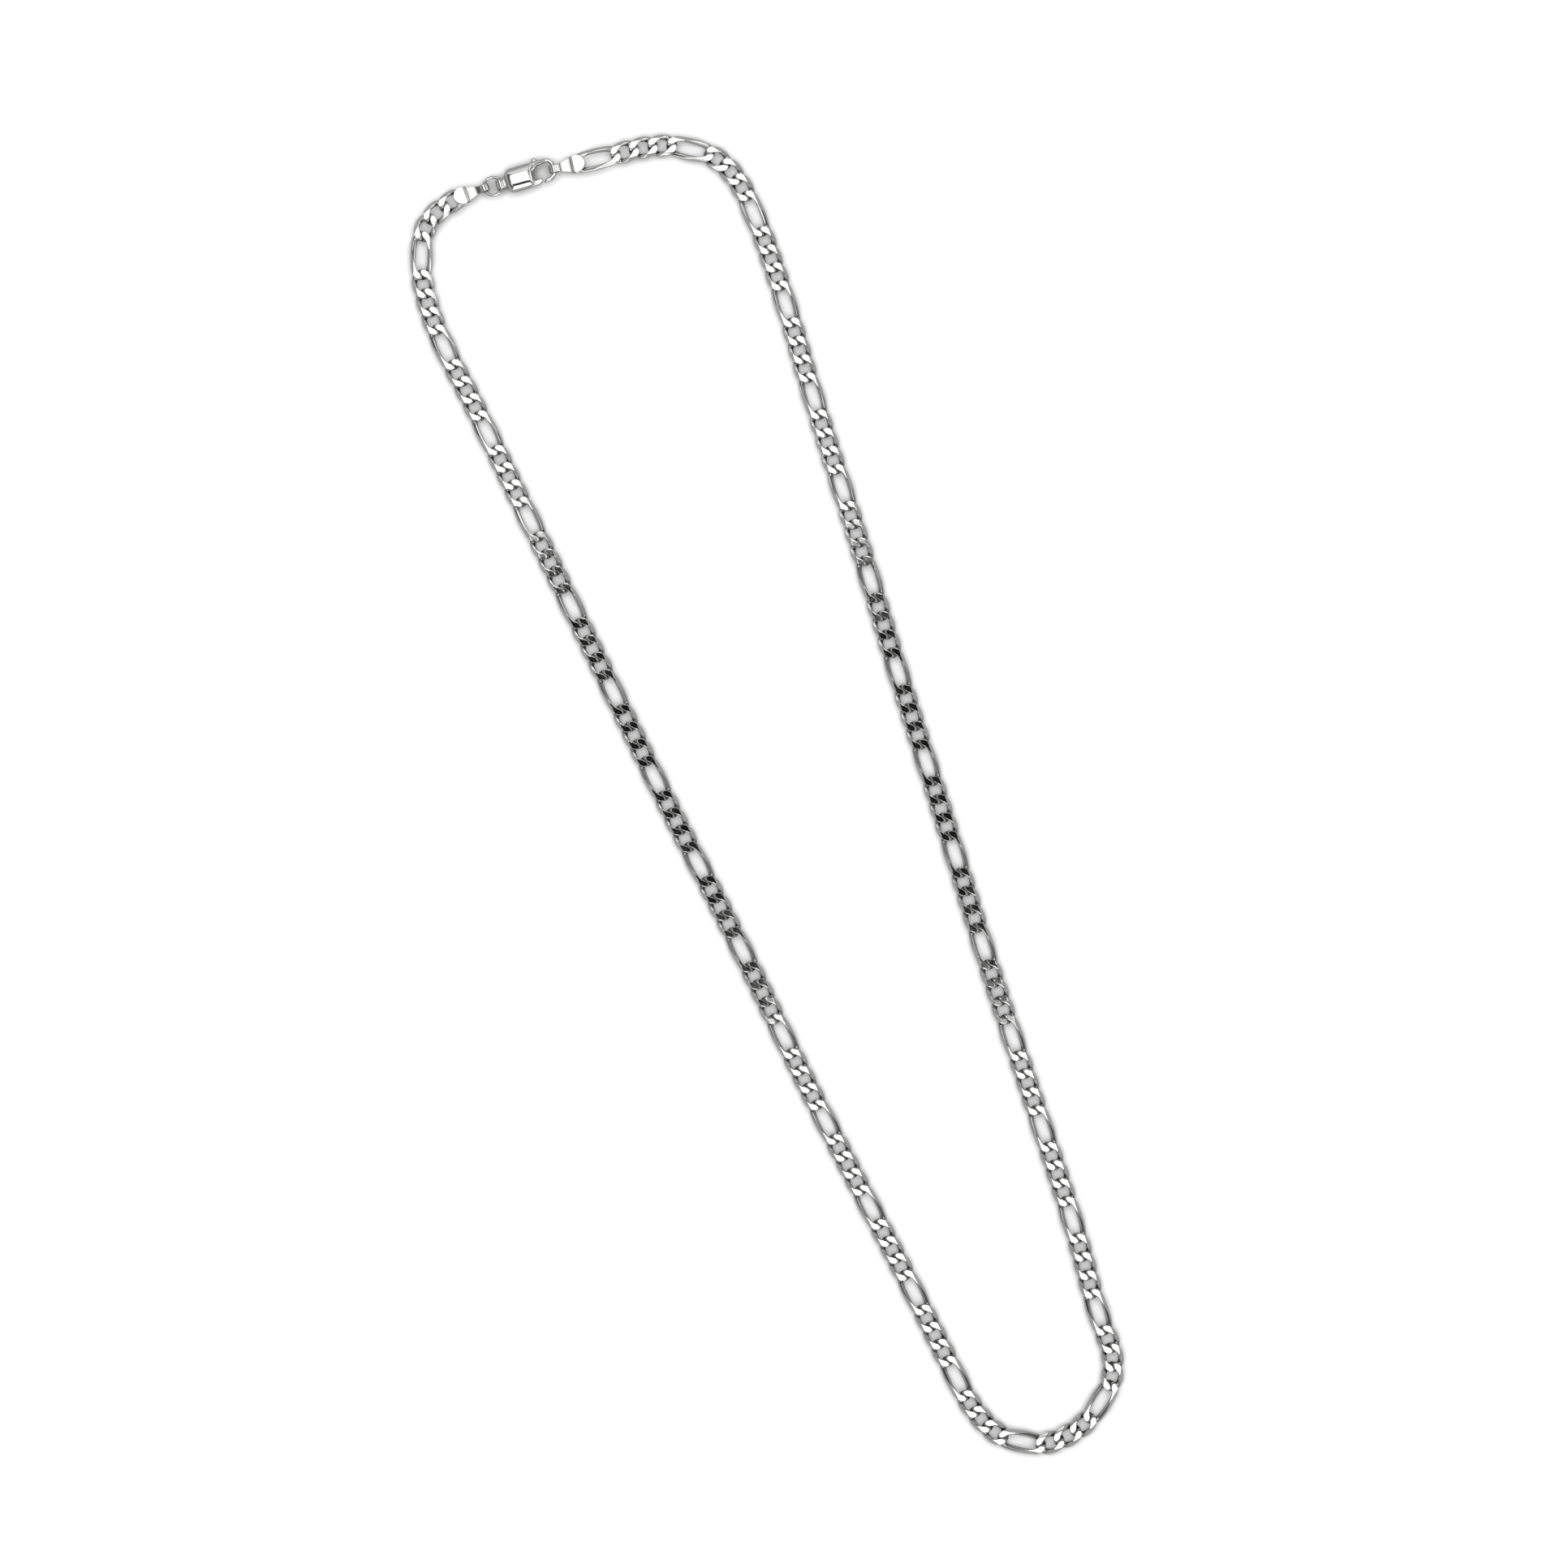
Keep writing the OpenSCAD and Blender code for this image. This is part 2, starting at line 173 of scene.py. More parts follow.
def place(name: str, mesh: bpy.types.Mesh) -> bpy.types.Object:
    """Puts a mesh into the scene as an object at the origin.

    Args:
        name: The object's name.
        mesh: Its mesh.

    Returns:
        The object.
    """
    made = bpy.data.objects.new(name, mesh)
    bpy.context.scene.collection.objects.link(made)
    return made


def unit(vectors: np.ndarray) -> np.ndarray:
    """Scales each row vector to length one."""
    length = np.linalg.norm(vectors, axis=-1, keepdims=True)
    return vectors / np.maximum(length, 1e-12)


def grid_faces(rows: int, columns: int, closed: bool) -> list:
    """Lists the quads of a grid whose rows are closed rings.

    Args:
        rows: How many rings there are.
        columns: How many points each ring has.
        closed: Whether the last ring meets the first.

    Returns:
        The faces, with their outsides out when the rings turn left round their own way forward.
    """
    faces = []
    for i in range(rows if closed else rows - 1):
        j = (i + 1) % rows
        for k in range(columns):
            n = (k + 1) % columns
            faces.append((i * columns + k, j * columns + k, j * columns + n, i * columns + n))
    return faces


def circle(r: float, count: int) -> np.ndarray:
    """Draws a circle as count rows of two, anticlockwise."""
    turns = np.linspace(0, 2 * np.pi, count, endpoint=False)
    return r * np.stack([np.cos(turns), np.sin(turns)], axis=1)


def sweep(line: np.ndarray, up: np.ndarray, sections: np.ndarray) -> Skin:
    """Carries a section along an open line, with a cap at each end.

    Args:
        line: The middle line, one row for each station.
        up: The direction of the section's height at each station.
        sections: The section's points at each station, across and up.

    Returns:
        The closed surface, without normals.
    """
    forward = unit(np.gradient(line, axis=0))
    across = unit(np.cross(forward, up))
    height = np.cross(across, forward)
    points = (
        line[:, None]
        + sections[:, :, :1] * across[:, None]
        + sections[:, :, 1:] * height[:, None]
    )
    rows, columns = sections.shape[:2]
    faces = [face[::-1] for face in grid_faces(rows, columns, False)]
    points = points.reshape(-1, 3)
    last = (rows - 1) * columns
    centres = np.array([points[:columns].mean(axis=0), points[last:].mean(axis=0)])
    hub = len(points)
    for k in range(columns):
        n = (k + 1) % columns
        faces.append((hub, n, k))
        faces.append((hub + 1, last + k, last + n))
    return Skin(np.concatenate([points, centres]), faces)


def soft_minimum(a: np.ndarray, b: np.ndarray, blend: float) -> np.ndarray:
    """Takes the lesser of two distances, with a rounded change from one to the other.

    Args:
        a: The first distances.
        b: The second distances.
        blend: The difference within which the change is rounded.

    Returns:
        The blended distances.
    """
    near = np.maximum(blend - np.abs(a - b), 0)
    return np.minimum(a, b) - near**2 / (4 * blend)


def soft_maximum(a: np.ndarray, b: np.ndarray, blend: float) -> np.ndarray:
    """Takes the greater of two distances, with a rounded change from one to the other."""
    return -soft_minimum(-a, -b, blend)


def pillow_field(offset: np.ndarray, half: tuple, power: tuple) -> np.ndarray:
    """Measures points against a block with all its corners rounded.

    Args:
        offset: The points, from the block's middle.
        half: Half its size along each axis.
        power: How square it is along each axis, 2 for a ball.

    Returns:
        About the distance outside the block, negative inside.
    """
    share = np.maximum(np.abs(offset) / np.array(half), 1e-4)
    parts = share ** np.array(power)
    total = parts.sum(axis=1)
    root = 1 / min(power)
    slope = parts / share * np.array(power) / np.array(half)
    steep = np.linalg.norm(slope, axis=1) * root * total ** (root - 1)
    return (total**root - 1) / np.maximum(steep, 1e-6)


def drum_field(points: np.ndarray, centre: tuple, r: float) -> np.ndarray:
    """Measures points against an upright cylinder without ends."""
    return np.hypot(points[:, 0] - centre[0], points[:, 1] - centre[1]) - r


def slab_field(points: np.ndarray, half: float) -> np.ndarray:
    """Measures points against a level slab about z = 0, half as thick as given."""
    return np.abs(points[:, 2]) - half


def plate_field(points: np.ndarray, corners: tuple, blend: float) -> np.ndarray:
    """Measures points against an upright prism without ends.

    Args:
        points: The points.
        corners: The prism's outline, convex and anticlockwise.
        blend: How far its corners are rounded.

    Returns:
        About the distance outside the prism, negative inside.
    """
    found = None
    for a, b in zip(corners, corners[1:] + corners[:1]):
        side = np.hypot(b[0] - a[0], b[1] - a[1])
        out = ((points[:, 0] - a[0]) * (b[1] - a[1]) - (points[:, 1] - a[1]) * (b[0] - a[0])) / side
        found = out if found is None else soft_maximum(found, out, blend)
    return found


def bar_field(points: np.ndarray, line: np.ndarray, power: float) -> np.ndarray:
    """Measures points against a bar that follows a line in the XY plane.

    Args:
        points: The points.
        line: Rows of x, y, half the bar's width and half its height.
        power: How square its section is, 2 for an ellipse.

    Returns:
        About the distance outside the bar, negative inside.
    """
    best = np.full(len(points), np.inf)
    half = np.zeros((len(points), 2))
    for a, b in zip(line, line[1:]):
        d = b[:2] - a[:2]
        part = np.clip(((points[:, :2] - a[:2]) @ d) / (d @ d), 0, 1)[:, None]
        away = np.linalg.norm(points[:, :2] - a[:2] - part * d, axis=1)
        closer = away < best
        best = np.where(closer, away, best)
        half = np.where(closer[:, None], a[2:] + part * (b[2:] - a[2:]), half)
    u = np.maximum(best / half[:, 0], 1e-4)
    v = np.maximum(np.abs(points[:, 2]) / half[:, 1], 1e-4)
    total = u**power + v**power
    steep = np.hypot(u ** (power - 1) / half[:, 0], v ** (power - 1) / half[:, 1])
    steep = steep * total ** (1 / power - 1)
    return (total ** (1 / power) - 1) / np.maximum(steep, 1e-6)


@dataclass
class SoftSolid:
    """A solid given by a field that is negative inside it, in millimetres."""

    field: Callable[[np.ndarray], np.ndarray]
    low: tuple
    high: tuple
    step: float
    settle: int = 4
    probe: float = 0.01
    least_slope: float = 0.2

    def surface(self) -> Skin:
        """Builds the surface where the field is zero.

        Returns:
            A closed surface of quads, in metres, with the field's own normals.
        """
        axes = [np.arange(a, b + self.step, self.step) for a, b in zip(self.low, self.high)]
        grid = np.stack(np.meshgrid(*axes, indexing="ij"), axis=-1)
        values = self.field(grid.reshape(-1, 3)).reshape(grid.shape[:3])
        edges = [self._crossed(grid, values, axis) for axis in range(3)]
        total = np.zeros(grid.shape)
        count = np.zeros(values.shape)
        for spots, around, _ in edges:
            for cells in around:
                np.add.at(total, cells, spots)
                np.add.at(count, cells, 1)
        active = count > 0
        number = np.full(values.shape, -1)
        number[active] = np.arange(active.sum())
        points = total[active] / count[active][:, None]
        for _ in range(self.settle):
            points -= self._push(points)
        faces = []
        for _, around, solid in edges:
            quads = np.stack([number[cells] for cells in around], axis=1)
            quads = np.where(solid[:, None], quads, quads[:, ::-1])
            faces += [tuple(quad) for quad in quads.tolist()]
        return Skin(points * MM, faces, unit(self._slope(points)))

    def _crossed(self, grid: np.ndarray, values: np.ndarray, axis: int) -> tuple:
        """Finds where the surface crosses the grid's edges along one axis.

        Args:
            grid: The grid's points.
            values: The field's values there.
            axis: The axis.

        Returns:
            The crossing points, the indices of the four cells around each crossed edge, in turn
            round it, and whether each edge starts inside the solid.
        """
        start, end = [slice(None)] * 3, [slice(None)] * 3
        start[axis], end[axis] = slice(None, -1), slice(1, None)
        start, end = tuple(start), tuple(end)
        where = np.argwhere((values[start] < 0) != (values[end] < 0))
        index = tuple(where.T)
        a, b = values[start][index], values[end][index]
        spots = grid[start][index]
        spots[:, axis] += a / (a - b) * self.step
        around = []
        for one, two in ((0, 0), (-1, 0), (-1, -1), (0, -1)):
            cells = where.copy()
            cells[:, (axis + 1) % 3] += one
            cells[:, (axis + 2) % 3] += two
            around.append(tuple(cells.T))
        return spots, around, a < 0

    def _slope(self, points: np.ndarray) -> np.ndarray:
        """Takes the field's slope at each point."""
        slope = np.zeros_like(points)
        for axis in range(3):
            aside = np.zeros(3)
            aside[axis] = self.probe
            slope[:, axis] = self.field(points + aside) - self.field(points - aside)
        return slope / (2 * self.probe)

    def _push(self, points: np.ndarray) -> np.ndarray:
        """Finds the step that brings each point onto the surface."""
        slope = self._slope(points)
        steep = np.maximum((slope**2).sum(axis=1), self.least_slope)
        push = (self.field(points) / steep)[:, None] * slope
        limit = self.step / 2
        return np.clip(push, -limit, limit)


@dataclass
class ChainRoute:
    """The closed middle line of the laid necklace, and the joints along it."""

    # Rows of x and y in millimetres, from the hook's joint with its tag and clockwise.
    points: tuple = (
        (0, 122.5), (9, 121), (17, 120), (23.5, 117.5), (28, 113.5), (30, 108.5), (30.5, 101),
        (30, 88), (28, 67), (26, 41.5), (23.5, 14), (21.5, -11.5), (19, -40), (17, -70),
        (15.5, -90.5), (14.5, -99), (13.5, -106.5), (13.5, -113), (11, -118.5), (6.5, -122),
        (1, -124), (-5.5, -123.5), (-11, -119.5), (-13.5, -113.5), (-14.5, -104.5),
        (-15.5, -91.5), (-19.5, -47.5), (-21.5, -18.5), (-24, 10.5), (-26, 40), (-28, 69),
        (-29.5, 91), (-30.5, 103), (-30, 110), (-28.5, 116.5), (-25, 122), (-19, 124),
        (-13, 124), (-10, 123.5),
    )
    repeats: int = 31
    shorts: int = 3
    play: float = 0.05 * MM
    tag: float = 4.5 * MM
    ring: float = 3.24 * MM
    clasp: float = 9.78 * MM
    low: float = 0.625 * MM
    high: float = 1.3 * MM
    rise: tuple = (1, 1, 0.78, 0.5, 0.28, 0.1, 0)
    tries: int = 5
    corrections: int = 4
    joints: np.ndarray = field(init=False)

    def __post_init__(self) -> None:
        """Walks the route once and keeps the joints."""
        self._places = np.array(self.points, float) * MM
        ahead = np.roll(self._places, -1, axis=0) - self._places
        self._chords = np.linalg.norm(ahead, axis=1)
        slope = ahead / self._chords[:, None]
        back_h = np.roll(self._chords, 1)[:, None]
        back_slope = np.roll(slope, 1, axis=0)
        ahead_h = self._chords[:, None]
        self._slopes = (back_slope * ahead_h + slope * back_h) / (back_h + ahead_h)
        self._starts = np.concatenate([[0], np.cumsum(self._chords)])
        self.joints = self._walked()

    @property
    def kinds(self) -> list[LinkKind]:
        """The links in order, from the hook's tag to the ring's tag."""
        one = [LinkKind.LONG] + [LinkKind.SHORT] * self.shorts
        return one * self.repeats

    def _spans(self) -> np.ndarray:
        """Lengths of the rigid members, from joint to joint."""
        chain = [kind.value - self.play for kind in self.kinds]
        return np.array([self.tag, *chain, self.tag, self.ring, self.clasp])

    def _at(self, u: float) -> np.ndarray:
        """The route's point at a distance along its chords."""
        u = u % self._starts[-1]
        i = min(int(np.searchsorted(self._starts, u, side="right")) - 1, len(self._chords) - 1)
        j = (i + 1) % len(self._chords)
        h = self._chords[i]
        s = (u - self._starts[i]) / h
        return (
            (2 * s**3 - 3 * s**2 + 1) * self._places[i]
            + (s**3 - 2 * s**2 + s) * h * self._slopes[i]
            + (3 * s**2 - 2 * s**3) * self._places[j]
            + (s**3 - s**2) * h * self._slopes[j]
        )

    def _steps(self, scale: float, flat: np.ndarray) -> list[float]:
        """Walks the scaled route.

        Args:
            scale: How much the route is scaled.
            flat: The members' lengths seen from above.

        Returns:
            The distance along the route's chords at each joint.
        """
        steps = [0.0]
        for length in flat:
            start = self._at(steps[-1])
            u = steps[-1] + length / scale
            for _ in range(self.corrections):
                u += length / scale - np.linalg.norm(self._at(u) - start)
            steps.append(u)
        return steps

    def _walked(self) -> np.ndarray:
        """Scales the route until its members close the loop.

        Returns:
            One row for each joint, in metres.
        """
        spans = self._spans()
        links = len(self.kinds)
        index = np.arange(len(spans) + 1)
        near = np.minimum(np.minimum(index, len(self.rise) - 1), np.maximum(links + 2 - index, 0))
        heights = self.low + (self.high - self.low) * np.array(self.rise)[near]
        flat = np.sqrt(spans**2 - np.diff(heights) ** 2)
        total = self._starts[-1]
        older, newer = spans.sum() / total * 0.999, spans.sum() / total
        older_gap = self._steps(older, flat)[-1] - total
        for _ in range(self.tries):
            newer_gap = self._steps(newer, flat)[-1] - total
            if abs(newer_gap - older_gap) < 1e-12:
                break
            next_one = newer - newer_gap * (newer - older) / (newer_gap - older_gap)
            older, older_gap, newer = newer, newer_gap, next_one
        plan = np.array([self._at(u) * newer for u in self._steps(newer, flat)])
        return np.column_stack([plan, heights])

    def on_member(self, member: int) -> Matrix:
        """Where a member drawn along X, centred, goes.

        Args:
            member: Its number, from 0 for the hook's tag.

        Returns:
            Its place.
        """
        a, b = Vector(self.joints[member]), Vector(self.joints[member + 1])
        d = b - a
        turn = Matrix.Rotation(math.atan2(d.y, d.x), 4, "Z")
        pitch = Matrix.Rotation(-math.atan2(d.z, d.xy.length), 4, "Y")
        return Matrix.Translation((a + b) / 2) @ turn @ pitch

    def from_joint(self, a: int, b: int) -> Matrix:
        """Where a piece drawn from the origin along X goes.

        Args:
            a: The joint at its origin.
            b: The joint that its X axis points to.

        Returns:
            Its place.
        """
        d = self.joints[b] - self.joints[a]
        turn = Matrix.Rotation(math.atan2(d[1], d[0]), 4, "Z")
        return Matrix.Translation(self.joints[a]) @ turn


@dataclass
class CurbLink:
    """One link: an oval of round wire, leant over at its ends, with flats and bevels cut on it."""

    kind: LinkKind
    width: float = 4.0 * MM
    wire: float = 0.92 * MM
    height: float = 0.9 * MM
    squareness: float = 2.5
    pressed: float = 0.01 * MM
    corner: float = 0.1 * MM
    thickness: float = 1.25 * MM
    flat: float = 2.84 * MM
    bevel_low: float = 0.13 * MM
    twist: float = math.radians(36)
    lean: float = 0.5 * MM
    lean_past: float = 0.35 * MM
    dive: float = 0.7 * MM
    side_step: float = 0.16 * MM
    end_stations: int = 28
    around: int = 34
    fine: int = 288
    rim: float = 0.08 * MM
    ridge: float = 0.06 * MM
    keep_in: float = 0.2 * MM
    corner_share: float = 0.55
    crowd: float = 0.6
    halvings: int = 26

    @property
    def side_stations(self) -> int:
        """How many sections each straight side has."""
        return round((self.kind.value + 2 * self.wire - self.width) / self.side_step)

    @property
    def stations(self) -> int:
        """How many sections the link has, round its oval."""
        return 2 * (self.side_stations + self.end_stations)

    def middle_line(self) -> np.ndarray:
        """Draws the wire's middle line.

        Returns:
            One row for each station, round the oval, high at one corner of each end and low
            at the other.
        """
        r = (self.width - self.wire) / 2
        half = self.kind.value / 2 + self.wire - self.width / 2
        side = np.linspace(half, -half, self.side_stations, endpoint=False)
        part = np.linspace(0, 1, self.end_stations, endpoint=False)
        turn = math.pi * (part + 0.5 * self.crowd * np.sin(2 * np.pi * part) / np.pi)
        x = np.concatenate([side, -half - r * np.sin(turn)])
        y = np.concatenate([0 * side + r, r * np.cos(turn)])
        x, y = np.concatenate([x, -x]), np.concatenate([y, -y])
        along = np.clip(x / (half + self.lean_past), -1, 1)
        over = np.sin(np.pi / 2 * np.clip(y / self.dive, -1, 1))
        y = y * np.cos(self.twist * x / (half + r))
        return np.stack([x, y, -self.lean * along * over], axis=1)

    def cuts(self) -> tuple[np.ndarray, np.ndarray]:
        """Lists the planes that the wire is cut to.

        Returns:
            The planes' outward normals, and their distances from the link's middle.
        """
        top = self.thickness / 2
        run = self.width / 2 - self.flat / 2
        slope = unit(np.array([[top - self.bevel_low, run]]))[0]
        offset = slope[0] * self.flat / 2 + slope[1] * top
        normals = [(0, 0, 1), (0, 0, -1)]
        normals += [(0, a * slope[0], b * slope[1]) for a in (1, -1) for b in (1, -1)]
        return np.array(normals, float), np.array([top, top] + [offset] * 4)

    def surface(self) -> Skin:
        """Builds the link's surface.

        Returns:
            A closed grid of quads with exact normals, finer where the section turns sharply.
        """
        line = self.middle_line()
        forward = unit(np.roll(line, -1, axis=0) - np.roll(line, 1, axis=0))
        outward = unit(np.cross(forward, (0, 0, 1)))
        upward = np.cross(outward, forward)
        shift = self._shift(line, forward)
        inner = line + shift
        lift = np.abs(line[:, 2]) / self.lean
        bend = np.abs(forward[:, 0] * forward[:, 1]) * 2
        spread = self.pressed * lift + self.corner * bend * lift
        angle = np.linspace(0, 2 * np.pi, self.fine, endpoint=False)
        rays = np.cos(angle)[:, None] * outward[:, None] + np.sin(angle)[:, None] * upward[:, None]
        across = ((shift * outward).sum(axis=1) + spread)[:, None]
        above = (shift * upward).sum(axis=1)[:, None]
        half_w = (self.wire / 2 + spread)[:, None]
        skin = self._round_hit(across, above, half_w, angle)
        reach = soft_minimum(self._cut_hit(inner, rays), skin, self.rim)
        dense = inner[:, None] + reach[:, :, None] * rays
        around = np.roll(dense, -1, axis=1) - np.roll(dense, 1, axis=1)
        onward = np.roll(dense, -1, axis=0) - np.roll(dense, 1, axis=0)
        facing = unit(np.cross(onward, around))
        facing *= np.sign((facing * rays).sum(axis=2, keepdims=True))
        rows = self._spread(reach, angle)
        points = self._pick(dense, rows)
        shading = unit(self._pick(facing, rows))
        faces = grid_faces(self.stations, self.around, True)
        return Skin(points.reshape(-1, 3), faces, shading.reshape(-1, 3))

    def _shift(self, line: np.ndarray, forward: np.ndarray) -> np.ndarray:
        """Finds how far each section's inner point lies from the wire's middle line.

        Args:
            line: The middle line.
            forward: Its direction at each station.

        Returns:
            The shifts, across the line, that keep the points clear of the cuts.
        """
        inner = line.copy()
        for normal, offset in zip(*self.cuts()):
            over = np.maximum(inner @ normal - offset + self.keep_in, 0)
            inner -= over[:, None] * normal
        shift = inner - line
        return shift - (shift * forward).sum(axis=1, keepdims=True) * forward

    def _cut_hit(self, inner: np.ndarray, rays: np.ndarray) -> np.ndarray:
        """Finds how far the cuts are from each inner point.

        Args:
            inner: The inner points.
            rays: The directions to look in from each of them.

        Returns:
            The distance at each station in each direction, and one where there is no cut.
        """
        reach = np.ones(rays.shape[:2])
        for i, (normal, offset) in enumerate(zip(*self.cuts())):
            facing = rays @ normal
            room = (offset - inner @ normal)[:, None]
            hit = np.where(facing > 1e-6, room / np.maximum(facing, 1e-6), 1.0)
            hit = np.minimum(hit, 1.0)
            reach = soft_minimum(reach, hit, self.ridge) if i else hit
        return reach

    def _round_hit(
        self, across: np.ndarray, above: np.ndarray, half_w: np.ndarray, angle: np.ndarray
    ) -> np.ndarray:
        """Finds how far the wire's round skin is from its inner point.

        Args:
            across: The inner point's place across the section, from the section's middle.
            above: Its place up the section.
            half_w: Half the wire's width, where it is pressed wider as well.
            angle: The directions to look in.

        Returns:
            The distance at each station in each direction.
        """
        half_h = self.height / 2
        c, s = np.cos(angle)[None], np.sin(angle)[None]
        near = np.zeros(np.broadcast_shapes(across.shape, c.shape))
        far = near + 2 * self.wire
        for _ in range(self.halvings):
            middle = (near + far) / 2
            u = np.abs(across + middle * c) / half_w
            v = np.abs(above + middle * s) / half_h
            outside = u**self.squareness + v**self.squareness > 1
            far = np.where(outside, middle, far)
            near = np.where(outside, near, middle)
        return (near + far) / 2

    def _spread(self, reach: np.ndarray, angle: np.ndarray) -> np.ndarray:
        """Chooses where each section's points lie, closer together at its corners.

        Args:
            reach: The fine section's distance from its inner point, for each angle.
            angle: The fine angles.

        Returns:
            For each station, the fractional indices of its chosen points.
        """
        flat = np.stack([reach * np.cos(angle), reach * np.sin(angle)], axis=2)
        step = np.roll(flat, -1, axis=1) - flat
        length = np.linalg.norm(step, axis=2)
        heading = np.arctan2(step[:, :, 1], step[:, :, 0])
        turn = np.abs((np.roll(heading, -1, axis=1) - heading + np.pi) % (2 * np.pi) - np.pi)
        turn = (turn + np.roll(turn, 1, axis=1)) / 2
        weight = (1 - self.corner_share) * length / length.sum(axis=1, keepdims=True)
        weight += self.corner_share * turn / turn.sum(axis=1, keepdims=True)
        weight = (np.roll(weight, 1, axis=0) + 2 * weight + np.roll(weight, -1, axis=0)) / 4
        sums = np.concatenate([np.zeros((len(weight), 1)), np.cumsum(weight, axis=1)], axis=1)
        wanted = np.arange(self.around) / self.around
        index = np.arange(self.fine + 1)
        return np.array([np.interp(wanted * row[-1], row, index) for row in sums])

    @staticmethod
    def _pick(dense: np.ndarray, rows: np.ndarray) -> np.ndarray:
        """Reads a fine closed grid at fractional indices.

        Args:
            dense: The fine grid, by station and angle.
            rows: The fractional indices for each station.

        Returns:
            The values there, mixed from the two nearest.
        """
        low = np.floor(rows).astype(int)
        part = (rows - low)[:, :, None]
        size = dense.shape[1]
        station = np.arange(len(rows))[:, None]
        return dense[station, low % size] * (1 - part) + dense[station, (low + 1) % size] * part


def add(
    tree: bpy.types.NodeTree, kind: str, inputs: dict, **settings: object
) -> bpy.types.ShaderNode:
    """Adds a shader node.

    Args:
        tree: The tree to add it to.
        kind: Its type, without the leading ShaderNode.
        inputs: For each input, its value or the socket that feeds it.
        settings: The node's own properties.

    Returns:
        The node.
    """
    made = tree.nodes.new(f"ShaderNode{kind}")
    for name, value in settings.items():
        setattr(made, name, value)
    for name, value in inputs.items():
        if isinstance(value, bpy.types.NodeSocket):
            tree.links.new(value, made.inputs[name])
        else:
            made.inputs[name].default_value = value
    return made


def add_mix(
    tree: bpy.types.NodeTree, factor: bpy.types.NodeSocket, a: object, b: object
) -> bpy.types.NodeSocket:
    """Mixes two colours.

    Args:
        tree: The tree to add the node to.
        factor: How far the mix goes from the first to the second.
        a: The first colour, or the socket that gives it.
        b: The second.

    Returns:
        The mixed colour.
    """
    made = add(tree, "Mix", {"Factor": factor, COLOR_A: a, COLOR_B: b}, data_type="RGBA")
    return made.outputs[COLOR_OUT]


def grey(level: float) -> tuple:
    """Gives a grey as a colour."""
    return (level, level, level, 1)


def new_material(name: str, values: dict) -> tuple:
    """Starts a material.

    Args:
        name: Its name.
        values: The constants on its shader's inputs.

    Returns:
        The material, its node tree and its shader.
    """
    material = bpy.data.materials.new(name)
    material.use_nodes = True
    shader = material.node_tree.nodes["Principled BSDF"]
    for label, value in values.items():
        shader.inputs[label].default_value = value
    return material, material.node_tree, shader


def new_group(name: str, inputs: dict, output: tuple) -> tuple:
    """Starts a shader node group with named sockets.

    Args:
        name: The group's name.
        inputs: Socket types by input name.
        output: Its output's name and socket type.

    Returns:
        The group's tree, its inputs as sockets by name, and its output node's socket.
    """
    tree = bpy.data.node_groups.new(name, "ShaderNodeTree")
    for label, kind in inputs.items():
        tree.interface.new_socket(label, in_out="INPUT", socket_type=kind)
    tree.interface.new_socket(output[0], in_out="OUTPUT", socket_type=output[1])
    start = tree.nodes.new("NodeGroupInput")
    end = tree.nodes.new("NodeGroupOutput")
    return tree, start.outputs, end.inputs[output[0]]


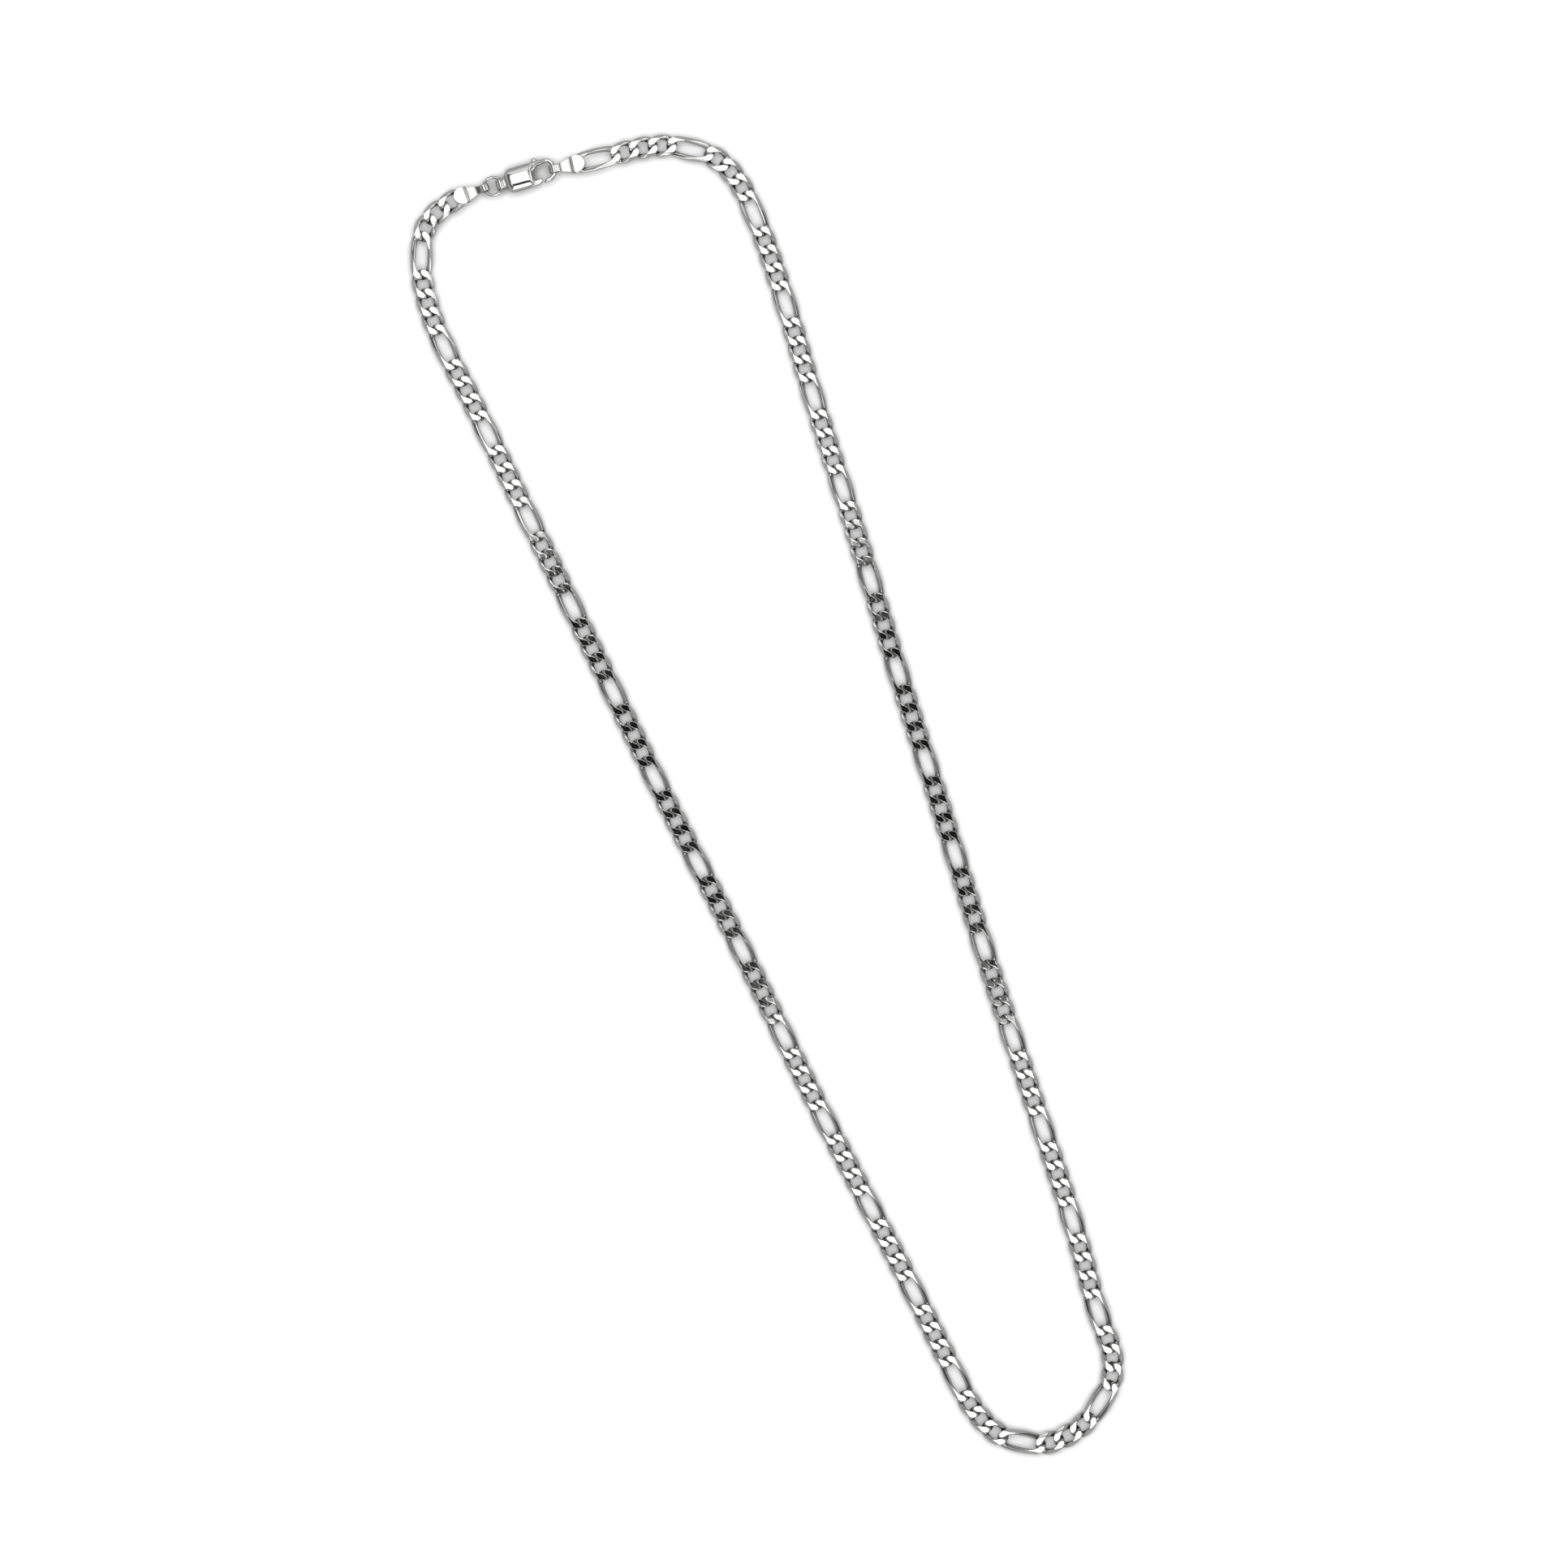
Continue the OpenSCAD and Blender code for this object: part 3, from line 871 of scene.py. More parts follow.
@dataclass(frozen=True)
class ShaderKit:
    """The effects that several metals share, each built once as a node group."""

    tone: bpy.types.NodeTree
    polish: bpy.types.NodeTree
    hairlines: bpy.types.NodeTree
    # Shade painted into the metal's colour between pieces of metal, by ambient occlusion.
    crevice_shade: bpy.types.NodeTree

    @classmethod
    def build(cls) -> "ShaderKit":
        """Builds the groups."""
        return cls(cls._tone(), cls._polish(), cls._hairlines(), cls._crevice_shade())

    @staticmethod
    def _crevice_shade() -> bpy.types.NodeTree:
        """Paints shade into the metal's colour deep between other metal, darker where more metal closes
        round it.
        """
        tree, given, out = new_group(
            "crevice_painted_shade",
            {"Color": "NodeSocketColor", "Reach": "NodeSocketFloat", "Deepest": "NodeSocketFloat"},
            ("Color", "NodeSocketColor"),
        )
        # Ambient occlusion sets how much painted shade darkens the colour.
        near = add(tree, "AmbientOcclusion", {"Distance": given["Reach"]}, samples=AO_SAMPLES)
        open_share = {"Value": near.outputs["AO"], "From Min": 0.35, "From Max": 0.96}
        depth = add(tree, "MapRange", {**open_share, "To Min": given["Deepest"]})
        dark = {0: given["Color"], "Scale": depth.outputs["Result"]}
        scaled = add(tree, "VectorMath", dark, operation="SCALE")
        tree.links.new(scaled.outputs["Vector"], out)
        return tree

    @staticmethod
    def _tone() -> bpy.types.NodeTree:
        """Drifts slowly between two tones of metal, over a few millimetres."""
        tree, given, out = new_group(
            "silver_tone",
            {"Vector": "NodeSocketVector", "Light": "NodeSocketColor", "Dull": "NodeSocketColor"},
            ("Color", "NodeSocketColor"),
        )
        cloud = add(tree, "TexNoise", {"Vector": given["Vector"], "Scale": 260, "Detail": 3})
        share = {"Value": cloud.outputs["Fac"], "From Min": 0.35, "From Max": 0.7}
        ramp = add(tree, "MapRange", share)
        tree.links.new(add_mix(tree, ramp.outputs["Result"], given["Light"], given["Dull"]), out)
        return tree

    @staticmethod
    def _polish() -> bpy.types.NodeTree:
        """Varies the roughness between a well and a less well polished value."""
        tree, given, out = new_group(
            "polish_marks",
            {"Vector": "NodeSocketVector", "Smooth": "NodeSocketFloat", "Rough": "NodeSocketFloat"},
            ("Roughness", "NodeSocketFloat"),
        )
        broad = add(tree, "TexNoise", {"Vector": given["Vector"], "Scale": 420, "Detail": 2})
        fine = add(tree, "TexNoise", {"Vector": given["Vector"], "Scale": 5200, "Detail": 4})
        factors = {0: broad.outputs["Fac"], 1: fine.outputs["Fac"]}
        both = add(tree, "Math", factors, operation="MULTIPLY")
        share = {"Value": both.outputs["Value"], "From Min": 0.12, "From Max": 0.42}
        spread = add(tree, "MapRange", {**share, "To Min": given["Smooth"], "To Max": given["Rough"]})
        tree.links.new(spread.outputs["Result"], out)
        return tree

    @staticmethod
    def _hairlines() -> bpy.types.NodeTree:
        """Gives the height of fine polishing lines that cross at a shallow angle."""
        tree, given, out = new_group(
            "hairlines",
            {"Vector": "NodeSocketVector", "Across": "NodeSocketVector", "Along": "NodeSocketVector"},
            ("Height", "NodeSocketFloat"),
        )
        heights = {}
        for i, stretch in enumerate(("Across", "Along")):
            factors = {0: given["Vector"], 1: given[stretch]}
            pulled = add(tree, "VectorMath", factors, operation="MULTIPLY").outputs["Vector"]
            lines = add(tree, "TexNoise", {"Vector": pulled, "Scale": 1, "Detail": 3})
            heights[i] = lines.outputs["Fac"]
        total = add(tree, "Math", heights, operation="ADD")
        tree.links.new(total.outputs["Value"], out)
        return tree


@dataclass(frozen=True)
class SilverFinish:
    """One polished silver: its tones, its polish, its fine lines and the shade painted into its colour
    between other metal.
    """

    name: str
    smooth: float
    rough: float
    light: tuple = (0.955, 0.95, 0.94, 1)
    dull: tuple = (0.9, 0.895, 0.885, 1)
    line_depth: float = 0.0006 * MM
    # How far the painted crevice shade looks for other metal, and how dark it gets at its deepest.
    shade_reach: float = 1.0 * MM
    shade_level: float = 0.06
    across: tuple = (900, 9000, 9000)
    along: tuple = (9000, 1100, 7000)

    def build(self, kit: ShaderKit) -> bpy.types.Material:
        """Builds the material.

        Args:
            kit: The shared node groups.

        Returns:
            The material.
        """
        material, tree, shader = new_material(self.name, {"Metallic": 1.0})
        where = add(tree, "TexCoord", {}).outputs["Object"]
        tones = {"Vector": where, "Light": self.light, "Dull": self.dull}
        tone = add(tree, "Group", tones, node_tree=kit.tone).outputs["Color"]
        deep = {"Color": tone, "Reach": self.shade_reach, "Deepest": self.shade_level}
        polish = {"Vector": where, "Smooth": self.smooth, "Rough": self.rough}
        lines = {"Vector": where, "Across": self.across, "Along": self.along}
        height = add(tree, "Group", lines, node_tree=kit.hairlines).outputs["Height"]
        bump = add(tree, "Bump", {"Height": height, "Distance": self.line_depth, "Strength": 1.0})
        feeds = {
            # The base colour carries the painted crevice shade.
            "Base Color": add(tree, "Group", deep, node_tree=kit.crevice_shade).outputs["Color"],
            "Roughness": add(tree, "Group", polish, node_tree=kit.polish).outputs["Roughness"],
            "Normal": bump.outputs["Normal"],
        }
        for label, socket in feeds.items():
            tree.links.new(socket, shader.inputs[label])
        return material


def dress(
    piece: bpy.types.Object, material: bpy.types.Material, part: Part, nodes: tuple
) -> None:
    """Gives a piece its finish and ties it to the frame.

    Args:
        piece: The piece, in place.
        material: Its finish.
        part: The body that it rides on.
        nodes: The CAD nodes that it stands for.
    """
    piece.data.materials.append(material)
    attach(piece, part.value)
    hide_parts(*nodes)
    count = sum(len(face.vertices) - 2 for face in piece.data.polygons)
    log.info("%s: %d triangles, rides on %s", piece.name, count, part.value)


@dataclass
class LinkRun:
    """All the links, as one piece for each repeat of the pattern."""

    route: ChainRoute
    material: bpy.types.Material
    roll: float = math.radians(0.7)
    tip: float = math.radians(0.25)
    most: float = 1.7
    seed: int = 41

    def build(self) -> None:
        """Builds one piece for each repeat."""
        shapes = {kind: CurbLink(kind).surface() for kind in LinkKind}
        kinds = self.route.kinds
        rolls = self._drift(len(kinds), self.seed) * self.roll
        tips = self._drift(len(kinds), self.seed + 1) * self.tip
        each = self.route.shorts + 1
        for r in range(self.route.repeats):
            name = f"figaro_links_{r + 1:02d}"
            skins = []
            for i in range(r * each, r * each + each):
                spin = Matrix.Rotation(float(rolls[i]), 4, "X")
                spin = spin @ Matrix.Rotation(float(tips[i]), 4, "Y")
                turned = shapes[kinds[i]].moved(spin)
                sunk = -CurbLink.thickness / 2 - float(turned.points[:, 2].min())
                rise = Matrix.Translation((0, 0, max(0.0, sunk)))
                skins.append(turned.moved(self.route.on_member(i + 1) @ rise))
            piece = place(f"links_{r + 1:02d}", Skin.joined(skins).mesh(name))
            dress(piece, self.material, Part.NECKLACE, (name,))

    def _drift(self, count: int, seed: int) -> np.ndarray:
        """Draws how far each link lies out of true, partly as its neighbours do.

        Args:
            count: How many links there are.
            seed: The draw's seed.

        Returns:
            Numbers about zero, of about one.
        """
        free = np.random.default_rng(seed).normal(0, 1, count + 2)
        mixed = (free[:-2] + 3 * free[1:-1] + free[2:]) / math.sqrt(11)
        return np.clip(mixed, -self.most, self.most)


@dataclass
class JumpRing:
    """The ring between the clasp and the ring's tag, lying flat, with its ends pressed together."""

    route: ChainRoute
    material: bpy.types.Material
    outer: float = 3.78 * MM
    wire: float = 0.54 * MM
    slit: float = 0.04 * MM
    slit_turn: float = math.radians(-50)
    stations: int = 120
    around: int = 28
    soften: float = 0.05 * MM

    def build(self) -> None:
        """Builds the ring."""
        r = (self.outer - self.wire) / 2
        first = self.slit_turn + self.slit / 2 / r
        last = self.slit_turn + 2 * math.pi - self.slit / 2 / r
        edge = self.soften / r
        turns = np.linspace(first + edge, last - edge, self.stations)
        turns = np.concatenate([[first, first + edge / 3], turns, [last - edge / 3, last]])
        line = np.stack([r + r * np.cos(turns), r * np.sin(turns), 0 * turns], axis=1)
        size = np.full(len(turns), self.wire / 2)
        size[[0, -1]] -= self.soften
        size[[1, -2]] -= self.soften / 3
        sections = size[:, None, None] * circle(1, self.around)
        links = len(self.route.kinds)
        place_at = self.route.from_joint(links + 2, links + 3)
        skin = sweep(line, np.array([0.0, 0.0, 1.0]), sections).moved(place_at)
        piece = place("jump_ring_wire", skin.mesh("jump_ring_wire"))
        dress(piece, self.material, Part.NECKLACE, ("jump_ring",))


@dataclass
class FoldedTag:
    """A strip of silver folded round a wire, with its two leaves over the end link."""

    name: str
    node: str
    loop_in: float
    waist: float
    place_at: Matrix
    material: bpy.types.Material
    length: float = 4.5 * MM
    nose: float = 1.2 * MM
    wide: float = 3.2 * MM
    strip: float = 0.32 * MM
    leaf_in: float = 0.685 * MM
    neck: float = 0.26 * MM
    step_x: float = 3.49 * MM
    step_run: float = 0.28 * MM
    step_round: float = 0.16 * MM
    neck_start: float = 0.3 * MM
    neck_run: float = 0.95 * MM
    neck_rise: float = 0.9
    waist_back: float = 0.2 * MM
    path_step: float = 0.05 * MM
    band_x: float = 3.725 * MM
    band_w: float = 0.95 * MM
    band_t: float = 0.06 * MM
    band_edge: float = 0.07 * MM
    edge_round: float = 0.08 * MM
    post_r: float = 0.5 * MM
    post_flare: float = 0.18
    post_x: float = 5.025 * MM

    def build(self) -> None:
        """Builds the tag."""
        path = self._path()
        x = path[:, 0]
        half = self._half_width(x)
        extra = self.band_t * self._band(x) * (np.abs(path[:, 1]) > self.leaf_in)
        sections = np.array([self._section(w, e) for w, e in zip(half, extra)])
        line = np.stack([path[:, 0], 0 * x, path[:, 1]], axis=1)
        forward = unit(np.gradient(line, axis=0))
        out = np.cross(forward, (0, 1, 0))
        skin = Skin.joined([sweep(line, out, sections), self._post()]).moved(self.place_at)
        piece = place(self.name, skin.mesh(self.name))
        dress(piece, self.material, Part.NECKLACE, (self.node,))

    def _path(self) -> np.ndarray:
        """Draws the strip's middle line from the side.

        Returns:
            Rows of x and z, from the upper leaf's end round the wire to the lower leaf's end.
        """
        leaf = self.leaf_in + self.strip / 2
        loop = self.loop_in + self.strip / 2
        nose_x = self.length + self.nose - self.wide / 2
        turns = np.radians([*np.linspace(88, 12, 20), 6, 0])
        leaf_x = nose_x + self.wide / 2 * np.sin(turns)
        flat_x = np.arange(nose_x - 0.04 * MM, self.step_x + 0.02 * MM, -self.path_step)
        upper = [(px, leaf) for px in np.concatenate([leaf_x, flat_x])]
        corner_a = np.array([self.step_x, leaf])
        corner_b = np.array([self.step_x - self.step_run, self.neck])
        start = self.loop_in + self.strip + self.neck_start
        corner_c = np.array([start, self.neck])
        reach = float(np.hypot(*corner_c))
        touch = math.atan2(self.neck, start) + math.acos(loop / reach)
        tangent = loop * np.array([math.cos(touch), math.sin(touch)])
        step_cuts = (self.step_round, self.step_round)
        upper += self._fillet(np.array([nose_x, leaf]), corner_a, corner_b, step_cuts)
        upper += self._fillet(corner_a, corner_b, corner_c, step_cuts)
        gap = corner_b[0] - corner_c[0] - self.step_round - self.neck_run
        for part in np.linspace(0.15, 0.85, 6):
            upper.append((corner_b[0] - self.step_round - part * gap, self.neck))
        rise = self.neck_rise * float(np.hypot(*(tangent - corner_c)))
        upper += self._fillet(corner_b, corner_c, tangent, (self.neck_run, rise), 17)
        arc = np.linspace(touch, math.pi, 26)
        upper += [(loop * math.cos(a), loop * math.sin(a)) for a in arc]
        above = np.array(upper)
        below = above[-2::-1] * (1, -1)
        return np.concatenate([above, below])

    @staticmethod
    def _fillet(
        a: np.ndarray, b: np.ndarray, c: np.ndarray, cuts: tuple, count: int = 7
    ) -> list[tuple]:
        """Rounds the corner at b between a and c.

        Args:
            a: The point before the corner.
            b: The corner.
            c: The point after it.
            cuts: How far before and after the corner the rounding starts and ends.
            count: How many points it has.

        Returns:
            Points along a parabola that touches both sides.
        """
        first = b + (a - b) / np.linalg.norm(a - b) * cuts[0]
        last = b + (c - b) / np.linalg.norm(c - b) * cuts[1]
        t = np.linspace(0, 1, count)[:, None]
        curve = (1 - t) ** 2 * first + 2 * t * (1 - t) * b + t**2 * last
        return [tuple(p) for p in curve]

    def _half_width(self, x: np.ndarray) -> np.ndarray:
        """Gives half the strip's width at each x."""
        nose_x = self.length + self.nose - self.wide / 2
        from_x = self.loop_in + self.strip - self.waist_back
        t = np.clip((x - from_x) / (nose_x - from_x), 0, 1)
        flare = 0.75 * t + 0.25 * t**2 * (3 - 2 * t)
        half = self.waist / 2 + (self.wide - self.waist) / 2 * flare
        over = np.clip((x - nose_x) / (self.wide / 2), 0, 1)
        return np.where(x > nose_x, self.wide / 2 * np.sqrt(1 - over**2), half)

    def _band(self, x: np.ndarray) -> np.ndarray:
        """Gives the raised band's share at each x, with soft edges."""
        rise = np.clip((x - self.band_x) / self.band_edge, 0, 1)
        fall = np.clip((self.band_x + self.band_w - x) / self.band_edge, 0, 1)
        both = np.minimum(rise, fall)
        return both * both * (3 - 2 * both)

    def _section(self, half: float, extra: float) -> np.ndarray:
        """Draws the strip's section: flat faces with rounded edges.

        Args:
            half: Half its width.
            extra: How much the band adds on the outer face.

        Returns:
            The points, anticlockwise from the outer right corner.
        """
        thick = self.strip / 2
        r = min(self.edge_round, 0.7 * half)
        guard = min(0.05 * MM, 0.2 * half)
        inner = half - r
        arc = np.linspace(0, math.pi / 2, 5)
        run = np.array([inner - guard, inner / 2, 0, -inner / 2, guard - inner])
        right_top = [(inner + r * math.cos(a), thick - r + r * math.sin(a)) for a in arc]
        top = [(w, thick + extra) for w in run]
        left_top = [(-px, py) for px, py in right_top[::-1]]
        left_low = [(-px, -py) for px, py in right_top]
        low = [(-w, -thick) for w in run]
        right_low = [(px, -py) for px, py in right_top[::-1]]
        return np.array(right_top + top + left_top + left_low + low + right_low)

    def _post(self) -> Skin:
        """Builds the post that joins the leaves through the end link."""
        top = self.leaf_in + self.strip / 2
        z = np.linspace(-top, top, 9)
        line = np.stack([0 * z + self.post_x, 0 * z, z], axis=1)
        flare = 1 + self.post_flare * (np.abs(z) / top) ** 6
        sections = flare[:, None, None] * circle(self.post_r, 28)
        return sweep(line, np.array([1.0, 0.0, 0.0]), sections)


@dataclass
class LobsterClasp:
    """The clasp, drawn in millimetres with the jump ring's wire at the origin and the hook along X."""

    route: ChainRoute
    body_metal: bpy.types.Material
    lever_metal: bpy.types.Material
    shift_y: float = 0.15
    body_mid: tuple = (3.34, 0.0, 0.0)
    body_half: tuple = (2.54, 2.17, 1.3)
    pivot: tuple = (5.13, 0.35)
    pin_r: float = 0.3
    pin_half: float = 0.9
    hub_r: float = 0.62
    hole_r: float = 0.35
    room_r: float = 0.72
    room_half: float = 0.5
    tab_room_half: float = 0.35
    lever_half: float = 0.4
    tab_half: float = 0.25
    gate_r: float = 3.05
    tip_r: float = 3.27
    arm_half: float = 0.38
    arm_height: float = 0.45
    web_half: float = 0.58
    # Outlines seen from above, as rows of x and y.
    web: tuple = ((5.6, 0.2), (5.85, 0.2), (6.95, 1.25), (6.95, 1.5), (5.6, 1.5))
    arm: tuple = ((4.73, 0.05), (5.03, -2.05), (5.9, -2.05), (5.98, -1.2), (5.63, 0.25))
    gate: tuple = ((4.9, -2.14), (7.42, -2.14), (7.42, -1.14), (4.9, -1.14))
    tab: tuple = ((6.2, 1.2), (7.33, 1.2), (7.28, 2.5), (6.9, 2.8), (6.5, 2.78), (6.25, 2.5))
    # Rows of x, y, half width and half height.
    root: tuple = (
        (4.6, 1.3, 0.45, 0.6), (5.2, 1.42, 0.5, 0.8), (5.8, 1.57, 0.5, 0.94),
        (6.4, 1.66, 0.49, 0.9), (7.0, 1.68, 0.475, 0.8), (7.8, 1.71, 0.45, 0.66),
        (8.2, 1.75, 0.42, 0.57),
    )
    root_points: int = 17
    root_passes: int = 2
    # Rows of the centre's x and y, the radius, and the first and last angle.
    bends: tuple = ((8.53, 0.54, 1.25, 88, 0), (8.23, -0.24, 1.55, 0, -90))
    bend_points: int = 11
    first_bend_half: tuple = (0.4, 0.5)
    hook_end: tuple = (6.4, -1.79)
    neck_x: float = 0.35
    neck_half: tuple = (0.95, 0.85, 0.6)
    bail_x: float = -0.22
    bail_in: float = 0.54
    bail_mid: float = 0.65
    bail_wall: float = 0.11
    bail_half: float = 0.85
    body_box: tuple = ((-1.2, -2.4, -1.5), (10.3, 2.4, 1.5))
    lever_box: tuple = ((4.3, -2.3, -0.6), (7.7, 3.1, 0.6))
    body_step: float = 0.065
    lever_step: float = 0.05
    hook_line: np.ndarray = field(init=False)

    def __post_init__(self) -> None:
        """Draws the hook's middle line once."""
        self.hook_line = self._hook_line()

    def build(self) -> None:
        """Builds the body and the lever."""
        links = len(self.route.kinds)
        at = self.route.from_joint(links + 3, links + 4)
        at = at @ Matrix.Translation((0, self.shift_y * MM, 0))
        body = SoftSolid(self._body, *self.body_box, self.body_step)
        lever = SoftSolid(self._lever, *self.lever_box, self.lever_step)
        shell = place("clasp_shell", body.surface().moved(at).mesh("clasp_shell"))
        dress(shell, self.body_metal, Part.NECKLACE, ("clasp_body",))
        trigger = place("clasp_trigger", lever.surface().moved(at).mesh("clasp_trigger"))
        dress(trigger, self.lever_metal, Part.LEVER, ("clasp_lever",))

    def _hook_line(self) -> np.ndarray:
        """Draws the hook's middle line, with the root's kinks smoothed away.

        Returns:
            The root, the bends and the end, as rows of x, y, half width and half height.
        """
        spots = []
        for x, y, r, start, stop in self.bends:
            turns = np.radians(np.linspace(start, stop, self.bend_points))
            spots += [(x + r * math.cos(a), y + r * math.sin(a)) for a in turns]
        spots.append(self.hook_end)
        arm = [(x, y, self.arm_half, self.arm_height) for x, y in spots]
        arm[0] = (*spots[0], *self.first_bend_half)
        rough = np.array([*self.root, *arm[:2]])
        even = np.linspace(0, len(rough) - 1, self.root_points)
        index = np.arange(len(rough))
        smooth = np.stack([np.interp(even, index, column) for column in rough.T], axis=1)
        for _ in range(self.root_passes):
            smooth[1:-1] = (smooth[:-2] + 2 * smooth[1:-1] + smooth[2:]) / 4
        return np.concatenate([smooth, arm[2:]])

    def _lever_room(self, p: np.ndarray) -> np.ndarray:
        """Measures points against the room that the lever turns in."""
        px, py = self.pivot
        sweep_side = (
            (px - self.room_r, py), (4.68, -4.4), (6.88, -4.4), (6.88, 0.6), (px, py + self.hub_r),
        )
        tab_side = (
            (px - 0.35, py), (px + 0.3, 0.05), (6.28, 0.2), (7.43, 0.8), (7.43, 4.4), (4.83, 4.4),
        )
        flat = np.minimum(drum_field(p, self.pivot, self.room_r), plate_field(p, sweep_side, 0.02))
        wide = np.maximum(flat, slab_field(p, self.room_half))
        tab = np.maximum(plate_field(p, tab_side, 0.02), slab_field(p, self.tab_room_half))
        return np.minimum(wide, tab)

    def _body(self, p: np.ndarray) -> np.ndarray:
        """Measures points against the body with its bail, hook and pin."""
        offset = p - np.array(self.body_mid)
        back = pillow_field(offset, self.body_half, (5, 3.2, 3.2))
        front = pillow_field(offset, self.body_half, (8, 3.2, 3.2))
        solid = np.where(offset[:, 0] < 0, back, front)
        hook = bar_field(p, self.hook_line, 3)
        tip = soft_maximum(hook, -drum_field(p, self.pivot, self.tip_r), 0.45)
        hook = np.where(p[:, 1] < 0, tip, hook)
        solid = soft_minimum(solid, hook, 0.6)
        web = soft_maximum(plate_field(p, self.web, 0.1), slab_field(p, self.web_half), 0.15)
        solid = soft_minimum(solid, web, 0.12)
        centred = p - np.array((self.neck_x, -self.shift_y, 0))
        neck = pillow_field(centred, self.neck_half, (6, 7, 4))
        solid = soft_minimum(solid, neck, 0.2)
        around = np.hypot(p[:, 0] - self.bail_x, p[:, 2])
        rim = np.stack([around - self.bail_mid, p[:, 1] + self.shift_y, 0 * around], axis=1)
        bail = pillow_field(rim, (self.bail_wall, self.bail_half, 1), (3, 8, 2))
        solid = soft_minimum(solid, bail, 0.12)
        solid = soft_maximum(solid, self.bail_in - around, 0.08)
        solid = soft_maximum(solid, -self._lever_room(p), 0.1)
        pin = np.maximum(drum_field(p, self.pivot, self.pin_r), slab_field(p, self.pin_half))
        return np.minimum(solid, pin)

    def _lever(self, p: np.ndarray) -> np.ndarray:
        """Measures points against the lever: its hub, gate and thumb tab."""
        px, py = self.pivot
        flat = soft_minimum(drum_field(p, self.pivot, self.hub_r), plate_field(p, self.arm, 0.1), 0.1)
        flat = soft_maximum(flat, slab_field(p, self.lever_half), 0.12)
        gate = soft_maximum(plate_field(p, self.gate, 0.4), drum_field(p, self.pivot, self.gate_r), 0.2)
        gate = soft_maximum(gate, slab_field(p, self.lever_half), 0.25)
        solid = np.minimum(flat, gate)
        strut_side = ((px - 0.1, py + 0.5), (px + 0.5, py), (7.3, 1.45), (6.2, 1.7))
        strut = plate_field(p, strut_side, 0.1)
        tab = soft_minimum(strut, plate_field(p, self.tab, 0.3), 0.1)
        tab = soft_maximum(tab, slab_field(p, self.tab_half), 0.25)
        solid = np.minimum(solid, tab)
        return soft_maximum(solid, -drum_field(p, self.pivot, self.hole_r), 0.05)


